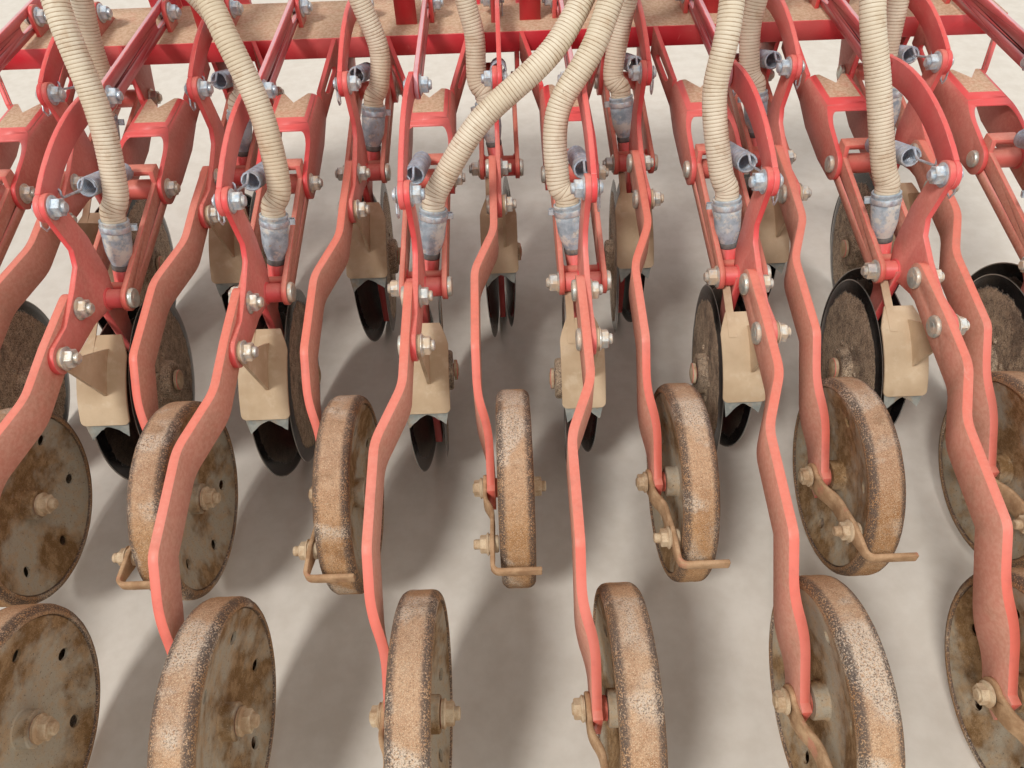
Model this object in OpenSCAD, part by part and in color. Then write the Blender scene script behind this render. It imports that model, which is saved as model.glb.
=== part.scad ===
// Coulter bar of a pneumatic seed drill: a box beam that carries two ranks of
// double-disc row units, each with a press wheel, a seed boot and a seed hose.
// X runs along the beam, Y forward, Z up. The origin is the middle of the front
// face of the centre mounting flange.
// A row's own pieces are drawn with Y = 0 over its press wheel axle, Z = 0 at
// ground level and X = 0 on the row's centre line.

/* [Rows] */
// Distance between two rows of one rank
row_pitch = 250; // [240:5:280]
// Distance from the rear rank to the front rank
rank_gap = 334; // [325:1:345]

/* [Beam] */
// Length of the beam
beam_length = 1900; // [1880:10:2100]
// Depth of the beam, front to back
beam_depth = 174; // [165:1:180]
// Height of the beam
beam_height = 38; // [36:1:40]
// Wall of the beam
beam_wall = 6; // [5:0.5:8]
// From the rear rank's wheel axles to the beam's rear face
beam_rear_y = 1109; // [1100:1:1115]
// Thickness of a mounting flange
flange_thickness = 15; // [12:1:20]
// Width of a mounting flange
flange_width = 200; // [190:5:230]
// Height of a mounting flange
flange_plate_height = 150; // [140:5:170]
// Distance of the outer flanges from the centre one
flange_spacing = 600; // [560:10:640]
// Diameter of a flange bolt hole
flange_hole_d = 21; // [18:0.5:24]
// Distance between the bolt holes along X
flange_hole_dx = 150; // [130:5:160]
// Distance between the bolt holes along Z
flange_hole_dz = 100; // [80:5:110]

/* [Press wheel] */
// Diameter of the press wheel over its tyre
wheel_d = 300; // [290:1:304]
// Width of the tyre
tyre_width = 50; // [44:1:54]
// Thickness of the tyre over the wheel
tyre_thickness = 14; // [12:0.5:16]
// Sheet of the two pressed wheel halves
wheel_web = 4; // [3:0.5:5]
// Diameter of the wheel's hub
wheel_hub_d = 46; // [42:1:54]
// Length of the wheel's hub
wheel_hub_length = 44; // [40:1:50]
// Diameter of the wheel's axle
wheel_axle_d = 16; // [14:0.5:20]
// Radial clearance of every running bore
running_clearance = 0.05; // [0.02:0.01:0.1]

/* [Opener discs] */
// Diameter of an opener disc
disc_d = 312; // [300:1:314]
// Thickness of an opener disc
disc_thickness = 3.5; // [3:0.5:4]
// Half of the angle between two discs
disc_angle = 4.3; // [4:0.1:4.5]
// Gap between two discs where they are nearest
nip_gap = 7.5; // [6:0.5:9]
// Angle of the discs' nearest point, below forward
disc_nip_angle = 35; // [30:1:40]
// From the wheel axle to the middle of the disc centres
disc_y = 597; // [592:1:602]
// Sideways place of the middle between the discs
disc_x = -14; // [-16:1:-12]
// How far the discs reach below the press wheel
working_depth = 34; // [28:1:40]
// Half of the stagger between left and right disc
disc_stagger = 15; // [12:1:17]
// Diameter of a disc's bearing hub
disc_hub_d = 72; // [66:1:78]
// Length of a disc's bearing hub outside the disc
disc_hub_length = 16; // [14:1:20]
// Diameter of a disc's stub axle
disc_axle_d = 24; // [20:0.5:26]

/* [Linkage] */
// Lower rear pivot, forward of the axle
pivot_b_y = 593; // [590:1:596]
// From the discs' top edge up to the lower rear pivot
pivot_b_rise = 56; // [52:1:60]
// Lower front pivot, forward of the axle
pivot_a_y = 832; // [828:1:836]
// From the lower rear pivot up to the lower front one
pivot_a_rise = 43; // [40:1:46]
// Upper rear pivot, forward of the axle
pivot_t_y = 580; // [576:1:584]
// From the lower rear pivot up to the upper rear one
pivot_t_rise = 180; // [176:1:184]
// Upper front pivot, forward of the axle
pivot_p_y = 854; // [850:1:858]
// From the upper rear pivot up to the upper front one
pivot_p_rise = 23; // [20:1:26]
// From the lower front pivots up to the beam's middle
beam_rise = 112; // [108:1:118]
// Thickness of the strap plates and of the main plate
plate = 8; // [7:0.5:8]
// Diameter of the pivot bolts
bolt_d = 16; // [14:1:18]
// Radial clearance of a fastened hole
hole_clearance = 0.3; // [0.2:0.05:0.4]
// Outer diameter of the spring
spring_d = 32; // [30:1:33]
// Wire of the spring
spring_wire = 5; // [4:0.5:6]

/* [Wheel arm] */
// Thickness of the wheel arm
arm_thickness = 12; // [10:1:12]
// Height of the wheel arm
arm_height = 54; // [50:1:58]

/* [Seed path] */
// Outer diameter of a seed hose
hose_d = 37; // [35:0.5:38]
// Diameter of the boot at its top
boot_top_d = 44; // [42:1:46]
// Diameter of the boot at its foot
boot_foot_d = 25; // [24:0.5:27]
// Outer diameter of a rail spigot
spigot_d = 33; // [31:0.5:34]
// Wall of a rail spigot
spigot_wall = 2.5; // [2:0.5:3]
// From the beam's middle up to the lower row of spigots
rail_rise = 271; // [261:5:281]
// Distance between the two rows of spigots
rail_row_gap = 90; // [80:5:100]
// Y of the rail's rear face, forward of the rear wheel axles
rail_y = 1150; // [1145:1:1160]

/* [Hidden] */
$fn = 48;
seat_gap = 0.3;

// Heights above the ground, from the discs up to the hose rail
disc_z = disc_d / 2 - working_depth;
pivot_b_z = disc_z + disc_d / 2 + pivot_b_rise;
pivot_a_z = pivot_b_z + pivot_a_rise;
pivot_t_z = pivot_b_z + pivot_t_rise;
pivot_p_z = pivot_t_z + pivot_p_rise;
flange_height = pivot_a_z + beam_rise;
rail_low_z = flange_height + rail_rise;

// Rows as [centre line in pitches from the middle, 1 for the front rank]
FRONT_ROWS = [for (i = [-3:3]) [i, 1]];
REAR_ROWS = [for (i = [-4:3]) [i + 0.5, 0]];
ROWS = concat(REAR_ROWS, FRONT_ROWS);
ROW_NAMES = [
    "r1", "r2", "r3", "r4", "r5", "r6", "r7", "r8",
    "f1", "f2", "f3", "f4", "f5", "f6", "f7"
];

rear_y = -(beam_rear_y + beam_depth + flange_thickness);
function row_x(row) = row[0] * row_pitch;
function row_y(row) = rear_y + row[1] * rank_gap;
// Left-half units carry the link on the left of the plate, right-half ones on the right
function hand(row) = row[0] < 0 ? 1 : -1;

beam_bottom_z = flange_height - beam_height / 2;
beam_top_z = flange_height + beam_height / 2;
beam_front_y = beam_rear_y + beam_depth;

// Stations across a row, as middles of the plates
plate_x = -10;
arm_x = plate_x - plate / 2 - arm_thickness / 2;
strap_left_x = -41;
strap_right_x = 25;
ear_left_x = strap_left_x - plate - seat_gap;
ear_right_x = strap_right_x + plate + seat_gap;
yoke_x = (ear_left_x + ear_right_x) / 2;
yoke_width = ear_right_x - ear_left_x + plate;
function spring_x(row) = yoke_x - hand(row) * 4;
boss_d = 30;
bolt_r = bolt_d / 2;
hole_r = bolt_r + hole_clearance;
head_d = bolt_d * 1.6;
head_h = bolt_d * 0.6;

module in_row(row) {
    translate([row_x(row), row_y(row), -flange_height]) children();
}

module in_bar() {
    translate([0, rear_y, -flange_height]) children();
}

// Draws a Y-Z outline as a plate of thickness t whose middle is at x
module side_plate(x, t) {
    translate([x - t / 2, 0, 0])
        rotate([90, 0, 90])
            linear_extrude(t) children();
}

// Straight bar outline between two round ends
module strap_2d(p, q, r1, r2) {
    d = norm(q - p);
    a = atan2(q[1] - p[1], q[0] - p[0]);
    t = asin((r1 - r2) / d);
    translate(p) rotate(a) {
        circle(r1);
        translate([d, 0]) circle(r2);
        polygon([
            [r1 * sin(t), r1 * cos(t)],
            [d + r2 * sin(t), r2 * cos(t)],
            [d + r2 * sin(t), -r2 * cos(t)],
            [r1 * sin(t), -r1 * cos(t)]
        ]);
    }
}

function unit(v) = v / norm(v);

// Points of a smooth bend at q between p and n, from r before q to r behind it
bend_steps = 6;
function bend(p, q, n, r) = let (
        u = q + r * unit(p - q),
        v = q + r * unit(n - q)
    )
    [for (k = [0:bend_steps])
        let (t = k / bend_steps) (1 - t) * (1 - t) * u + 2 * t * (1 - t) * q + t * t * v];

// Outline of a flat bar of thickness t with a smooth bend at each inner point of its path
module bent_bar_2d(path, r, t) {
    n = len(path);
    line = concat(
        [path[0]],
        [for (i = [1:n - 2]) each bend(path[i - 1], path[i], path[i + 1], r)],
        [path[n - 1]]
    );
    m = len(line);
    side = [for (i = [0:m - 1])
        let (d = unit(line[min(i + 1, m - 1)] - line[max(i - 1, 0)]))
        [-d[1], d[0]] * t / 2];
    polygon(concat(
        [for (i = [0:m - 1]) line[i] + side[i]],
        [for (i = [m - 1:-1:0]) line[i] - side[i]]
    ));
}

// Cylinder along X from x0 to x1
module rod_x(y, z, x0, x1, d) {
    translate([x0, y, z])
        rotate([0, 90, 0]) cylinder(d = d, h = x1 - x0);
}

module hex_x(y, z, x0, x1, d) {
    translate([x0, y, z])
        rotate([0, 90, 0]) cylinder(d = d, h = x1 - x0, $fn = 6);
}

pivot_a = [pivot_a_y, pivot_a_z];
pivot_b = [pivot_b_y, pivot_b_z];
pivot_t = [pivot_t_y, pivot_t_z];
pivot_p = [pivot_p_y, pivot_p_z];

// Bolts that hold the wheel arm on the main plate
bolt_c = [pivot_b_y - 162, pivot_b_z + 31];
bolt_d_pos = [pivot_b_y - 74, pivot_b_z + 46];

// Disc frame: closing direction and axis of the disc on side s
disc_offset = disc_d / 2 * sin(disc_angle) + (disc_thickness + nip_gap) / 2;
function disc_centre(s) = [disc_x + s * disc_offset, disc_y + s * disc_stagger, disc_z];
module disc_frame(s) {
    translate(disc_centre(s))
        rotate([-disc_nip_angle, 0, 0])
            rotate([0, 0, s * disc_angle])
                rotate([0, s * 90, 0]) children();
}

flange_y = beam_front_y + flange_thickness;

module flange_2d() {
    difference() {
        square([flange_width, flange_plate_height], center = true);
        for (x = [-1, 1], z = [-1, 1])
            translate([x * flange_hole_dx / 2, z * flange_hole_dz / 2])
                circle(d = flange_hole_d);
    }
}

gusset = 45;
gusset_x = 40;

module beam() {
    color("firebrick") in_bar() {
        difference() {
            translate([-beam_length / 2, beam_rear_y, beam_bottom_z])
                cube([beam_length, beam_depth, beam_height]);
            translate([
                -beam_length / 2 + beam_wall,
                beam_rear_y + beam_wall,
                beam_bottom_z + beam_wall
            ])
                cube([
                    beam_length - 2 * beam_wall,
                    beam_depth - 2 * beam_wall,
                    beam_height - 2 * beam_wall
                ]);
        }
        for (x = [-flange_spacing, 0, flange_spacing])
            translate([x, flange_y, flange_height]) {
                rotate([90, 0, 0]) linear_extrude(flange_thickness) flange_2d();
                for (s = [-1, 1], m = [0, 1])
                    mirror([0, 0, m])
                        translate([s * gusset_x - plate / 2, -flange_thickness, beam_height / 2])
                            rotate([90, 0, 90])
                                linear_extrude(plate)
                                    polygon([[0, 0], [0, gusset], [-gusset, 0]]);
            }
    }
}

// Outline of a yoke's side, from the pivot lobe to the saddle plate
yoke_lobe_r = 27;
saddle_rear = [121, 60];
saddle_front_y = 208;
module yoke_side_2d() {
    translate(pivot_a) {
        circle(yoke_lobe_r);
        polygon([
            [-yoke_lobe_r * 0.45, yoke_lobe_r * 0.89],
            [saddle_rear[0] - 30, saddle_rear[1] - 6],
            saddle_rear,
            [saddle_front_y, saddle_rear[1]],
            [saddle_front_y, wing_low],
            [150, -14],
            [60, -yoke_lobe_r],
            [0, -yoke_lobe_r]
        ]);
    }
}

// Folded saddle of the rear rank: round-cornered channel cut to the side outline
module yoke_channel_2d(w, r) {
    h = saddle_rear[1] + 2 * yoke_lobe_r;
    translate([yoke_x, pivot_a_z + saddle_rear[1] - h]) {
        translate([-w / 2, 0]) square([w, h - r]);
        translate([-w / 2 + r, 0]) square([w - 2 * r, h]);
        for (s = [-1, 1])
            translate([s * (w / 2 - r), h - r]) circle(r);
    }
}

yoke_bend_r = 20;
yoke_notch = [44, 34];
wing_spread = 34;
wing_low = 8;
wing_drop = 12;
wing_slot_r = 7;
wing_slot = [[228, 55], [254, 80]];

module rear_yoke() {
    y0 = pivot_a_y - yoke_lobe_r;
    y1 = pivot_a_y + saddle_front_y;
    difference() {
        intersection() {
            translate([0, y1, 0]) rotate([90, 0, 0])
                linear_extrude(y1 - y0)
                    difference() {
                        yoke_channel_2d(yoke_width, yoke_bend_r);
                        translate([0, -plate])
                            yoke_channel_2d(yoke_width - 2 * plate, yoke_bend_r - plate);
                    }
            side_plate(yoke_x, yoke_width + 2) yoke_side_2d();
        }
        // V notch in the front edge of the saddle plate
        translate([yoke_x, y1, 0])
            linear_extrude(beam_top_z)
                polygon([[-yoke_notch[0] / 2, 1], [yoke_notch[0] / 2, 1], [0, -yoke_notch[1]]]);
        rod_x(pivot_a_y, pivot_a_z, ear_left_x - plate, ear_right_x + plate, 2 * hole_r);
    }
    // Wings with an oblong slot that flare from the saddle out to the beam
    for (s = [-1, 1])
        intersection() {
            linear_extrude(beam_top_z)
                polygon([
                    [yoke_x + s * (yoke_width / 2 - plate), y1],
                    [yoke_x + s * yoke_width / 2, y1],
                    [yoke_x + s * (yoke_width / 2 + wing_spread), beam_rear_y],
                    [yoke_x + s * (yoke_width / 2 + wing_spread - plate), beam_rear_y]
                ]);
            side_plate(yoke_x, 2 * yoke_width + 2 * wing_spread)
                difference() {
                    polygon([
                        [y1, pivot_a_z + wing_low],
                        [y1, pivot_a_z + saddle_rear[1]],
                        [beam_rear_y, beam_top_z],
                        [beam_rear_y, beam_bottom_z - wing_drop]
                    ]);
                    strap_2d(
                        pivot_a + wing_slot[0], pivot_a + wing_slot[1],
                        wing_slot_r, wing_slot_r
                    );
                }
        }
}

// Upper lug on the beam that holds the curved link of the front rank
lug_r = 20;
lug_foot_rear = 38;
lug_foot_front = 48;
module upper_lug() {
    side_plate(plate_x, plate)
        difference() {
            union() {
                translate(pivot_p) circle(lug_r);
                polygon([
                    [pivot_p_y - lug_r, pivot_p_z],
                    [pivot_p_y - lug_foot_rear, beam_top_z],
                    [pivot_p_y + lug_foot_front, beam_top_z],
                    [pivot_p_y + lug_r, pivot_p_z]
                ]);
            }
            translate(pivot_p) circle(hole_r);
        }
}

// Ears under the beam that hold the straps of the front rank, and the web between them
ear_foot_rear = 46;
ear_foot_front = 72;
ear_web_y = 30;
ear_web_h = 40;
module front_yoke() {
    for (x = [ear_left_x, ear_right_x])
        side_plate(x, plate)
            difference() {
                union() {
                    translate(pivot_a) circle(yoke_lobe_r);
                    polygon([
                        [pivot_a_y - yoke_lobe_r, pivot_a_z],
                        [pivot_a_y - ear_foot_rear, beam_bottom_z],
                        [pivot_a_y + ear_foot_front, beam_bottom_z],
                        [pivot_a_y + yoke_lobe_r, pivot_a_z]
                    ]);
                }
                translate(pivot_a) circle(hole_r);
            }
    translate([ear_left_x, pivot_a_y + ear_web_y, beam_bottom_z - ear_web_h])
        cube([ear_right_x - ear_left_x, plate, ear_web_h]);
}

module yokes() {
    color("firebrick") {
        for (row = REAR_ROWS) in_row(row) rear_yoke();
        for (row = FRONT_ROWS) in_row(row) front_yoke();
        for (row = FRONT_ROWS) in_row(row) upper_lug();
    }
}

// Straps between the lower pivots, with the tube at A and the round cross bar
strap_rear_r = 20;
strap_front_r = 25;
cross_bar = [pivot_b_y + 31, pivot_b_z - 3];
cross_bar_d = 17;
hook_tab = [pivot_a_y, pivot_a_z + 42];
hook_reach = 8;
hook_tab_w = 24;

module opener_frame(row) {
    s = hand(row);
    difference() {
        union() {
            for (x = [strap_left_x, strap_right_x])
                side_plate(x, plate)
                    strap_2d(pivot_b, pivot_a, strap_rear_r, strap_front_r);
            rod_x(pivot_a_y, pivot_a_z, strap_left_x, strap_right_x, boss_d + 4);
            rod_x(cross_bar[0], cross_bar[1], strap_left_x, strap_right_x, cross_bar_d);
            // Upright tab bent over towards the spring
            side_plate(s > 0 ? strap_right_x : strap_left_x, plate)
                polygon([
                    [hook_tab[0] - 22, pivot_a_z],
                    [hook_tab[0] - hook_tab_w / 2, hook_tab[1]],
                    [hook_tab[0] + hook_tab_w / 2, hook_tab[1]],
                    [hook_tab[0] + 16, pivot_a_z]
                ]);
            translate([
                s > 0 ? spring_x(row) - hook_reach : strap_left_x - plate / 2,
                hook_tab[0] - hook_tab_w / 2,
                hook_tab[1] - plate
            ])
                cube([
                    s > 0 ? strap_right_x + plate / 2 - spring_x(row) + hook_reach
                        : spring_x(row) + hook_reach - strap_left_x + plate / 2,
                    hook_tab_w,
                    plate
                ]);
        }
        rod_x(pivot_a_y, pivot_a_z, ear_left_x, ear_right_x, 2 * hole_r);
        rod_x(pivot_b_y, pivot_b_z, ear_left_x, ear_right_x, 2 * hole_r);
    }
}

module opener_frames() {
    color("firebrick") for (row = ROWS) in_row(row) opener_frame(row);
}

// Foot of the seed boot, and its lean forward and outwards
boot_y = pivot_b_y + 59;
boot_z = pivot_b_z + 12;
boot_lean = 16;
boot_tilt = 8;
boot_collar = 24;
function boot_foot(row) = [yoke_x + hand(row) * 9, boot_y, boot_z];
function boot_dir(row) = [
    hand(row) * sin(boot_tilt),
    cos(boot_tilt) * sin(boot_lean),
    cos(boot_tilt) * cos(boot_lean)
];

// Main plate with its boss, the shank between the discs and the disc stub axles
shank = 12;
module main_plate_2d() {
    difference() {
        union() {
            translate(pivot_t) circle(20);
            translate(pivot_b) circle(boss_d / 2 + 5);
            translate(bolt_c) circle(22);
            translate(pivot_b)
                polygon([
                    [-33, 180],
                    [-19, 110],
                    [-30, 88],
                    [-68, 70],
                    [-120, 52],
                    [-164, 53],
                    [-160, 9],
                    [-60, 2],
                    [-24, -8],
                    [19, -8],
                    [32, 30],
                    [28, 100],
                    [7, 180]
                ]);
        }
        translate(pivot_t) circle(hole_r);
        translate(pivot_b) circle(hole_r);
        translate(bolt_c) circle(hole_r);
        translate(bolt_d_pos) circle(hole_r);
    }
}

module shank_2d() {
    difference() {
        polygon([
            [pivot_b_y - 18, pivot_b_z + 12],
            [pivot_b_y + 20, pivot_b_z - 20],
            [boot_y - 8, pivot_b_z - 24],
            [boot_y - 8, pivot_b_z - 44],
            [pivot_b_y + 28, pivot_b_z - 58],
            [pivot_b_y + 8, disc_z + 60],
            [disc_y + 44, disc_z],
            [disc_y + 10, disc_z - 60],
            [disc_y - 30, disc_z - 122],
            [disc_y - 52, disc_z - 122],
            [disc_y - 46, disc_z - 40],
            [disc_y - 40, disc_z + 10],
            [disc_y - 6, disc_z + 80]
        ]);
        translate(pivot_b) circle(hole_r);
    }
}

stub_length = disc_hub_length + disc_thickness / 2 + 1;
module main_plate(row) {
    difference() {
        union() {
            side_plate(plate_x, plate) main_plate_2d();
            side_plate(disc_x, shank) shank_2d();
            rod_x(
                pivot_b_y, pivot_b_z,
                strap_left_x + plate / 2 + seat_gap,
                strap_right_x - plate / 2 - seat_gap,
                boss_d
            );
            for (s = [-1, 1])
                disc_frame(s) {
                    translate([0, 0, -disc_offset])
                        cylinder(d = disc_axle_d + 14, h = disc_offset - 5);
                    translate([0, 0, -disc_offset])
                        cylinder(d = disc_axle_d, h = disc_offset + stub_length + 1);
                    translate([0, 0, stub_length])
                        cylinder(d = disc_axle_d + 12, h = 6);
                }
            // Socket that takes the foot of the seed boot
            seed_socket(row);
        }
        rod_x(pivot_b_y, pivot_b_z, ear_left_x, ear_right_x, 2 * hole_r);
        seed_way(row);
    }
}

module main_plates() {
    color("firebrick") for (row = ROWS) in_row(row) main_plate(row);
}

// The seed boot leans forward and outwards from a socket ahead of the cross bar
boot_length = 59;
boot_plug = 11;
boot_wall = 3;
boot_shoulder = 4;
socket_length = 46;
module boot_frame(row) {
    translate(boot_foot(row))
        rotate([-boot_lean, 0, 0])
            rotate([0, hand(row) * boot_tilt, 0]) children();
}

module seed_socket(row) {
    boot_frame(row) translate([0, 0, -socket_length])
        cylinder(d = boot_foot_d + 4, h = socket_length);
}

module seed_way(row) {
    boot_frame(row) {
        translate([0, 0, -socket_length - 1])
            cylinder(d = boot_foot_d - 8, h = socket_length);
        translate([0, 0, -boot_plug - seat_gap])
            cylinder(d = boot_foot_d + 2 * seat_gap, h = boot_plug + 1);
    }
}

module hose_boot(row) {
    boot_frame(row)
        rotate_extrude()
            polygon([
                [boot_foot_d / 2 - boot_wall, -boot_plug],
                [boot_foot_d / 2, -boot_plug],
                [boot_foot_d / 2, boot_shoulder],
                [boot_top_d / 2, boot_length],
                [boot_top_d / 2, boot_length + boot_collar],
                [hose_d / 2 + seat_gap, boot_length + boot_collar],
                [hose_d / 2 + seat_gap, boot_length],
                [boot_foot_d / 2 - boot_wall, boot_shoulder]
            ]);
}

module hose_boots() {
    color("dimgray") for (row = ROWS) in_row(row) hose_boot(row);
}

// Wheel arm: plan outline and side outline of one bent flat bar
arm_tyre_gap = 21;
arm_hub_gap = 9;
arm_tail = 23;
arm_nose = 26;
arm_bend_r = 16;
arm_out_x = -(tyre_width + arm_thickness) / 2 - arm_tyre_gap;
arm_end_x = -(wheel_hub_length + arm_thickness) / 2 - arm_hub_gap;
module arm_plan_2d() {
    reach = bolt_c[0];
    bent_bar_2d([
        [arm_x, bolt_d_pos[0] + arm_nose],
        [arm_x, 0.805 * reach],
        [arm_out_x, 0.612 * reach],
        [arm_out_x, 0.18 * reach],
        [arm_end_x, 0.097 * reach],
        [arm_end_x, -arm_tail]
    ], arm_bend_r, arm_thickness);
}

// The bar runs back from the main plate and turns down to the axle at its knee
arm_knee = [wheel_d / 2 - 10, bolt_c[1] - 53];
module arm_side_2d() {
    axle = [0, wheel_d / 2];
    half = arm_height / 2;
    strap_2d(axle, arm_knee, half - 2, half);
    translate(axle) translate([-arm_tail, -half + 2]) square([arm_tail, arm_height - 4]);
    strap_2d(arm_knee, bolt_c, half, half);
    strap_2d(bolt_c, bolt_d_pos, half, 22);
}

module wheel_arm() {
    axle_z = wheel_d / 2;
    difference() {
        intersection() {
            linear_extrude(pivot_t_z) arm_plan_2d();
            side_plate(arm_out_x, 200) arm_side_2d();
        }
        for (p = [bolt_c, bolt_d_pos])
            rod_x(p[0], p[1], arm_x - 20, arm_x + 20, 2 * hole_r);
    }
    // Stub axle of the press wheel, with its end washers and nuts
    rod_x(0, axle_z, scraper_x - scraper_t - 1, wheel_hub_length / 2 + 3, wheel_axle_d);
    rod_x(0, axle_z, scraper_x - scraper_t - 3, scraper_x - scraper_t - 1, wheel_axle_d + 14);
    hex_x(0, axle_z, scraper_x - scraper_t - 13, scraper_x - scraper_t - 3, wheel_axle_d + 8);
    rod_x(0, axle_z, arm_end_x, -wheel_hub_length / 2 - 1, wheel_axle_d + 14);
    rod_x(0, axle_z, wheel_hub_length / 2 + 1, wheel_hub_length / 2 + 4, wheel_axle_d + 18);
    hex_x(0, axle_z, wheel_hub_length / 2 + 4, wheel_hub_length / 2 + 16, wheel_axle_d + 12);
}

module wheel_arms() {
    color("indianred") for (row = ROWS) in_row(row) wheel_arm();
}

// Press wheel: two pressed bowls back to back between hub and tyre
wheel_flat_r = 42;
wheel_hole_r = 100;
wheel_hole_d = 17;
module press_wheel(row) {
    r_out = wheel_d / 2;
    r_in = r_out - tyre_thickness;
    r_hub = wheel_hub_d / 2;
    half = tyre_width / 2;
    shoulder = tyre_thickness - 2;
    bowl = half - 4 - wheel_web;
    steps = 6;
    wall = [for (k = [0:steps])
        let (t = k / steps)
        [wheel_flat_r + (r_in - 8 - wheel_flat_r) * t, bowl * pow(t, 1.5)]];
    color("rosybrown") in_row(row)
        translate([0, 0, r_out]) rotate([0, 90, 0]) difference() {
            rotate_extrude($fn = 96) {
                intersection() {
                    translate([r_in, -tyre_width]) square([r_out, 2 * tyre_width]);
                    union() {
                        translate([r_out - 2 * shoulder, -half]) square([shoulder, tyre_width]);
                        translate([r_out - shoulder, -half + shoulder])
                            square([shoulder, tyre_width - 2 * shoulder]);
                        for (s = [-1, 1])
                            translate([r_out - shoulder, s * (half - shoulder)])
                                circle(shoulder);
                    }
                }
                polygon(concat(
                    [[r_hub - 1, wheel_web]],
                    [for (p = wall) p + [0, wheel_web]],
                    [[r_in + 1, bowl + wheel_web], [r_in + 1, bowl]],
                    [for (k = [steps:-1:0]) wall[k]],
                    [for (k = [1:steps]) [wall[k][0], -wall[k][1]]],
                    [[r_in + 1, -bowl], [r_in + 1, -bowl - wheel_web]],
                    [for (k = [steps:-1:0]) [wall[k][0], -wall[k][1] - wheel_web]],
                    [[r_hub - 1, -wheel_web]]
                ));
                translate([wheel_axle_d / 2 + running_clearance, -wheel_hub_length / 2])
                    square([
                        (wheel_hub_d - wheel_axle_d) / 2 - running_clearance,
                        wheel_hub_length
                    ]);
            }
            for (i = [0:5])
                rotate(i * 60 + 15)
                    translate([wheel_hole_r, 0, -half])
                        cylinder(d = wheel_hole_d, h = tyre_width);
        }
}

module opener_disc(row, s) {
    r = disc_d / 2;
    edge = 14;
    hub = disc_hub_length + disc_thickness / 2;
    bore_r = disc_axle_d / 2 + running_clearance;
    color("dimgray") in_row(row) disc_frame(s)
        rotate_extrude($fn = 96)
            polygon([
                [bore_r, -disc_thickness / 2],
                [r, -disc_thickness / 2],
                [r - edge, disc_thickness / 2],
                [disc_hub_d / 2, disc_thickness / 2],
                [disc_hub_d / 2, hub - 5],
                [disc_hub_d / 2 - 5, hub],
                [bore_r, hub]
            ]);
}

// Upper curved link, an arc through its two pivots
link_rise = 26;
link_half = 19;
link_eye_r = 20.5;
link_eye_inset = 1.5;
link_chord = norm(pivot_p - pivot_t);
link_radius = (link_chord * link_chord / 4 + link_rise * link_rise) / (2 * link_rise);
link_sweep = asin(link_chord / 2 / link_radius) - link_eye_inset;
link_tilt = atan2(pivot_p_z - pivot_t_z, pivot_p_y - pivot_t_y);
function link_x(row) = plate_x - hand(row) * (plate + seat_gap);

module curved_link_2d() {
    difference() {
        union() {
            translate((pivot_t + pivot_p) / 2)
                rotate(link_tilt)
                    translate([0, link_rise - link_radius])
                        intersection() {
                            difference() {
                                circle(link_radius + link_half, $fn = 120);
                                circle(link_radius - link_half, $fn = 120);
                            }
                            polygon([
                                [0, 0],
                                2 * link_radius * [-sin(link_sweep), cos(link_sweep)],
                                [0, 2 * link_radius],
                                2 * link_radius * [sin(link_sweep), cos(link_sweep)]
                            ]);
                        }
            for (p = [pivot_t, pivot_p]) translate(p) circle(link_eye_r);
        }
        for (p = [pivot_t, pivot_p]) translate(p) circle(hole_r);
    }
}

module curved_links() {
    color("indianred") for (row = ROWS) in_row(row)
        side_plate(link_x(row), plate) curved_link_2d();
}

// Slotted upper links of the rear rank, bolted to lugs on the beam
slot_link_length = 372;
slot_link_r = 22;
slot_bolt = [pivot_p_y + slot_link_length - 45, pivot_p_z];
slot_rear = 50;
slot_front = 20;
module slotted_link() {
    side_plate(plate_x, plate)
        difference() {
            strap_2d(pivot_p, pivot_p + [slot_link_length, 0], slot_link_r, slot_link_r);
            translate(pivot_p) circle(hole_r);
            strap_2d(
                slot_bolt - [slot_rear, 0],
                slot_bolt + [slot_front, 0],
                hole_r, hole_r
            );
        }
}

module slot_lug(row) {
    x = plate_x + hand(row) * (plate + seat_gap);
    side_plate(x, plate)
        difference() {
            union() {
                translate(slot_bolt) circle(slot_link_r);
                translate([slot_bolt[0] - slot_link_r, beam_top_z])
                    square([2 * slot_link_r, slot_bolt[1] - beam_top_z]);
            }
            translate(slot_bolt) circle(hole_r);
        }
}

module slotted_links() {
    color("indianred") for (row = REAR_ROWS) in_row(row) slotted_link();
}

module slot_lugs() {
    color("firebrick") for (row = REAR_ROWS) in_row(row) slot_lug(row);
}

// Close-wound spring with a hook at each end
spring_hook_front = 14;
spring_rear = pivot_t + [0.382, -0.134] * link_chord;
spring_front = pivot_a + [-0.076, 0.182] * link_chord;
spring_hook_rear = norm(spring_rear - pivot_t) - link_eye_r - link_half;

module spring(row) {
    d = norm(spring_front - spring_rear);
    a = atan2(spring_front[1] - spring_rear[1], spring_front[0] - spring_rear[0]);
    translate([spring_x(row), spring_rear[0], spring_rear[1]])
        rotate([a, 0, 0]) rotate([-90, 0, 0]) {
            difference() {
                cylinder(d = spring_d, h = d);
                translate([0, 0, spring_wire])
                    cylinder(d = spring_d - 2 * spring_wire, h = d - 2 * spring_wire);
            }
            translate([0, 0, -spring_hook_rear]) cylinder(d = spring_wire, h = spring_hook_rear + 1);
            translate([0, 0, d - 1]) cylinder(d = spring_wire, h = spring_hook_front + 1);
        }
}

module springs() {
    color("silver") for (row = ROWS) in_row(row) spring(row);
}

// Guard plate that covers the gap between the discs from behind
guard_r = disc_d / 2 + 26;
guard_from = 113;
guard_to = 151;
guard_t = 4;
guard_width = 68;
rib_t = 5;
rib_eye_r = 16;
rib_x = plate_x + (plate + rib_t) / 2 + seat_gap;

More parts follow.
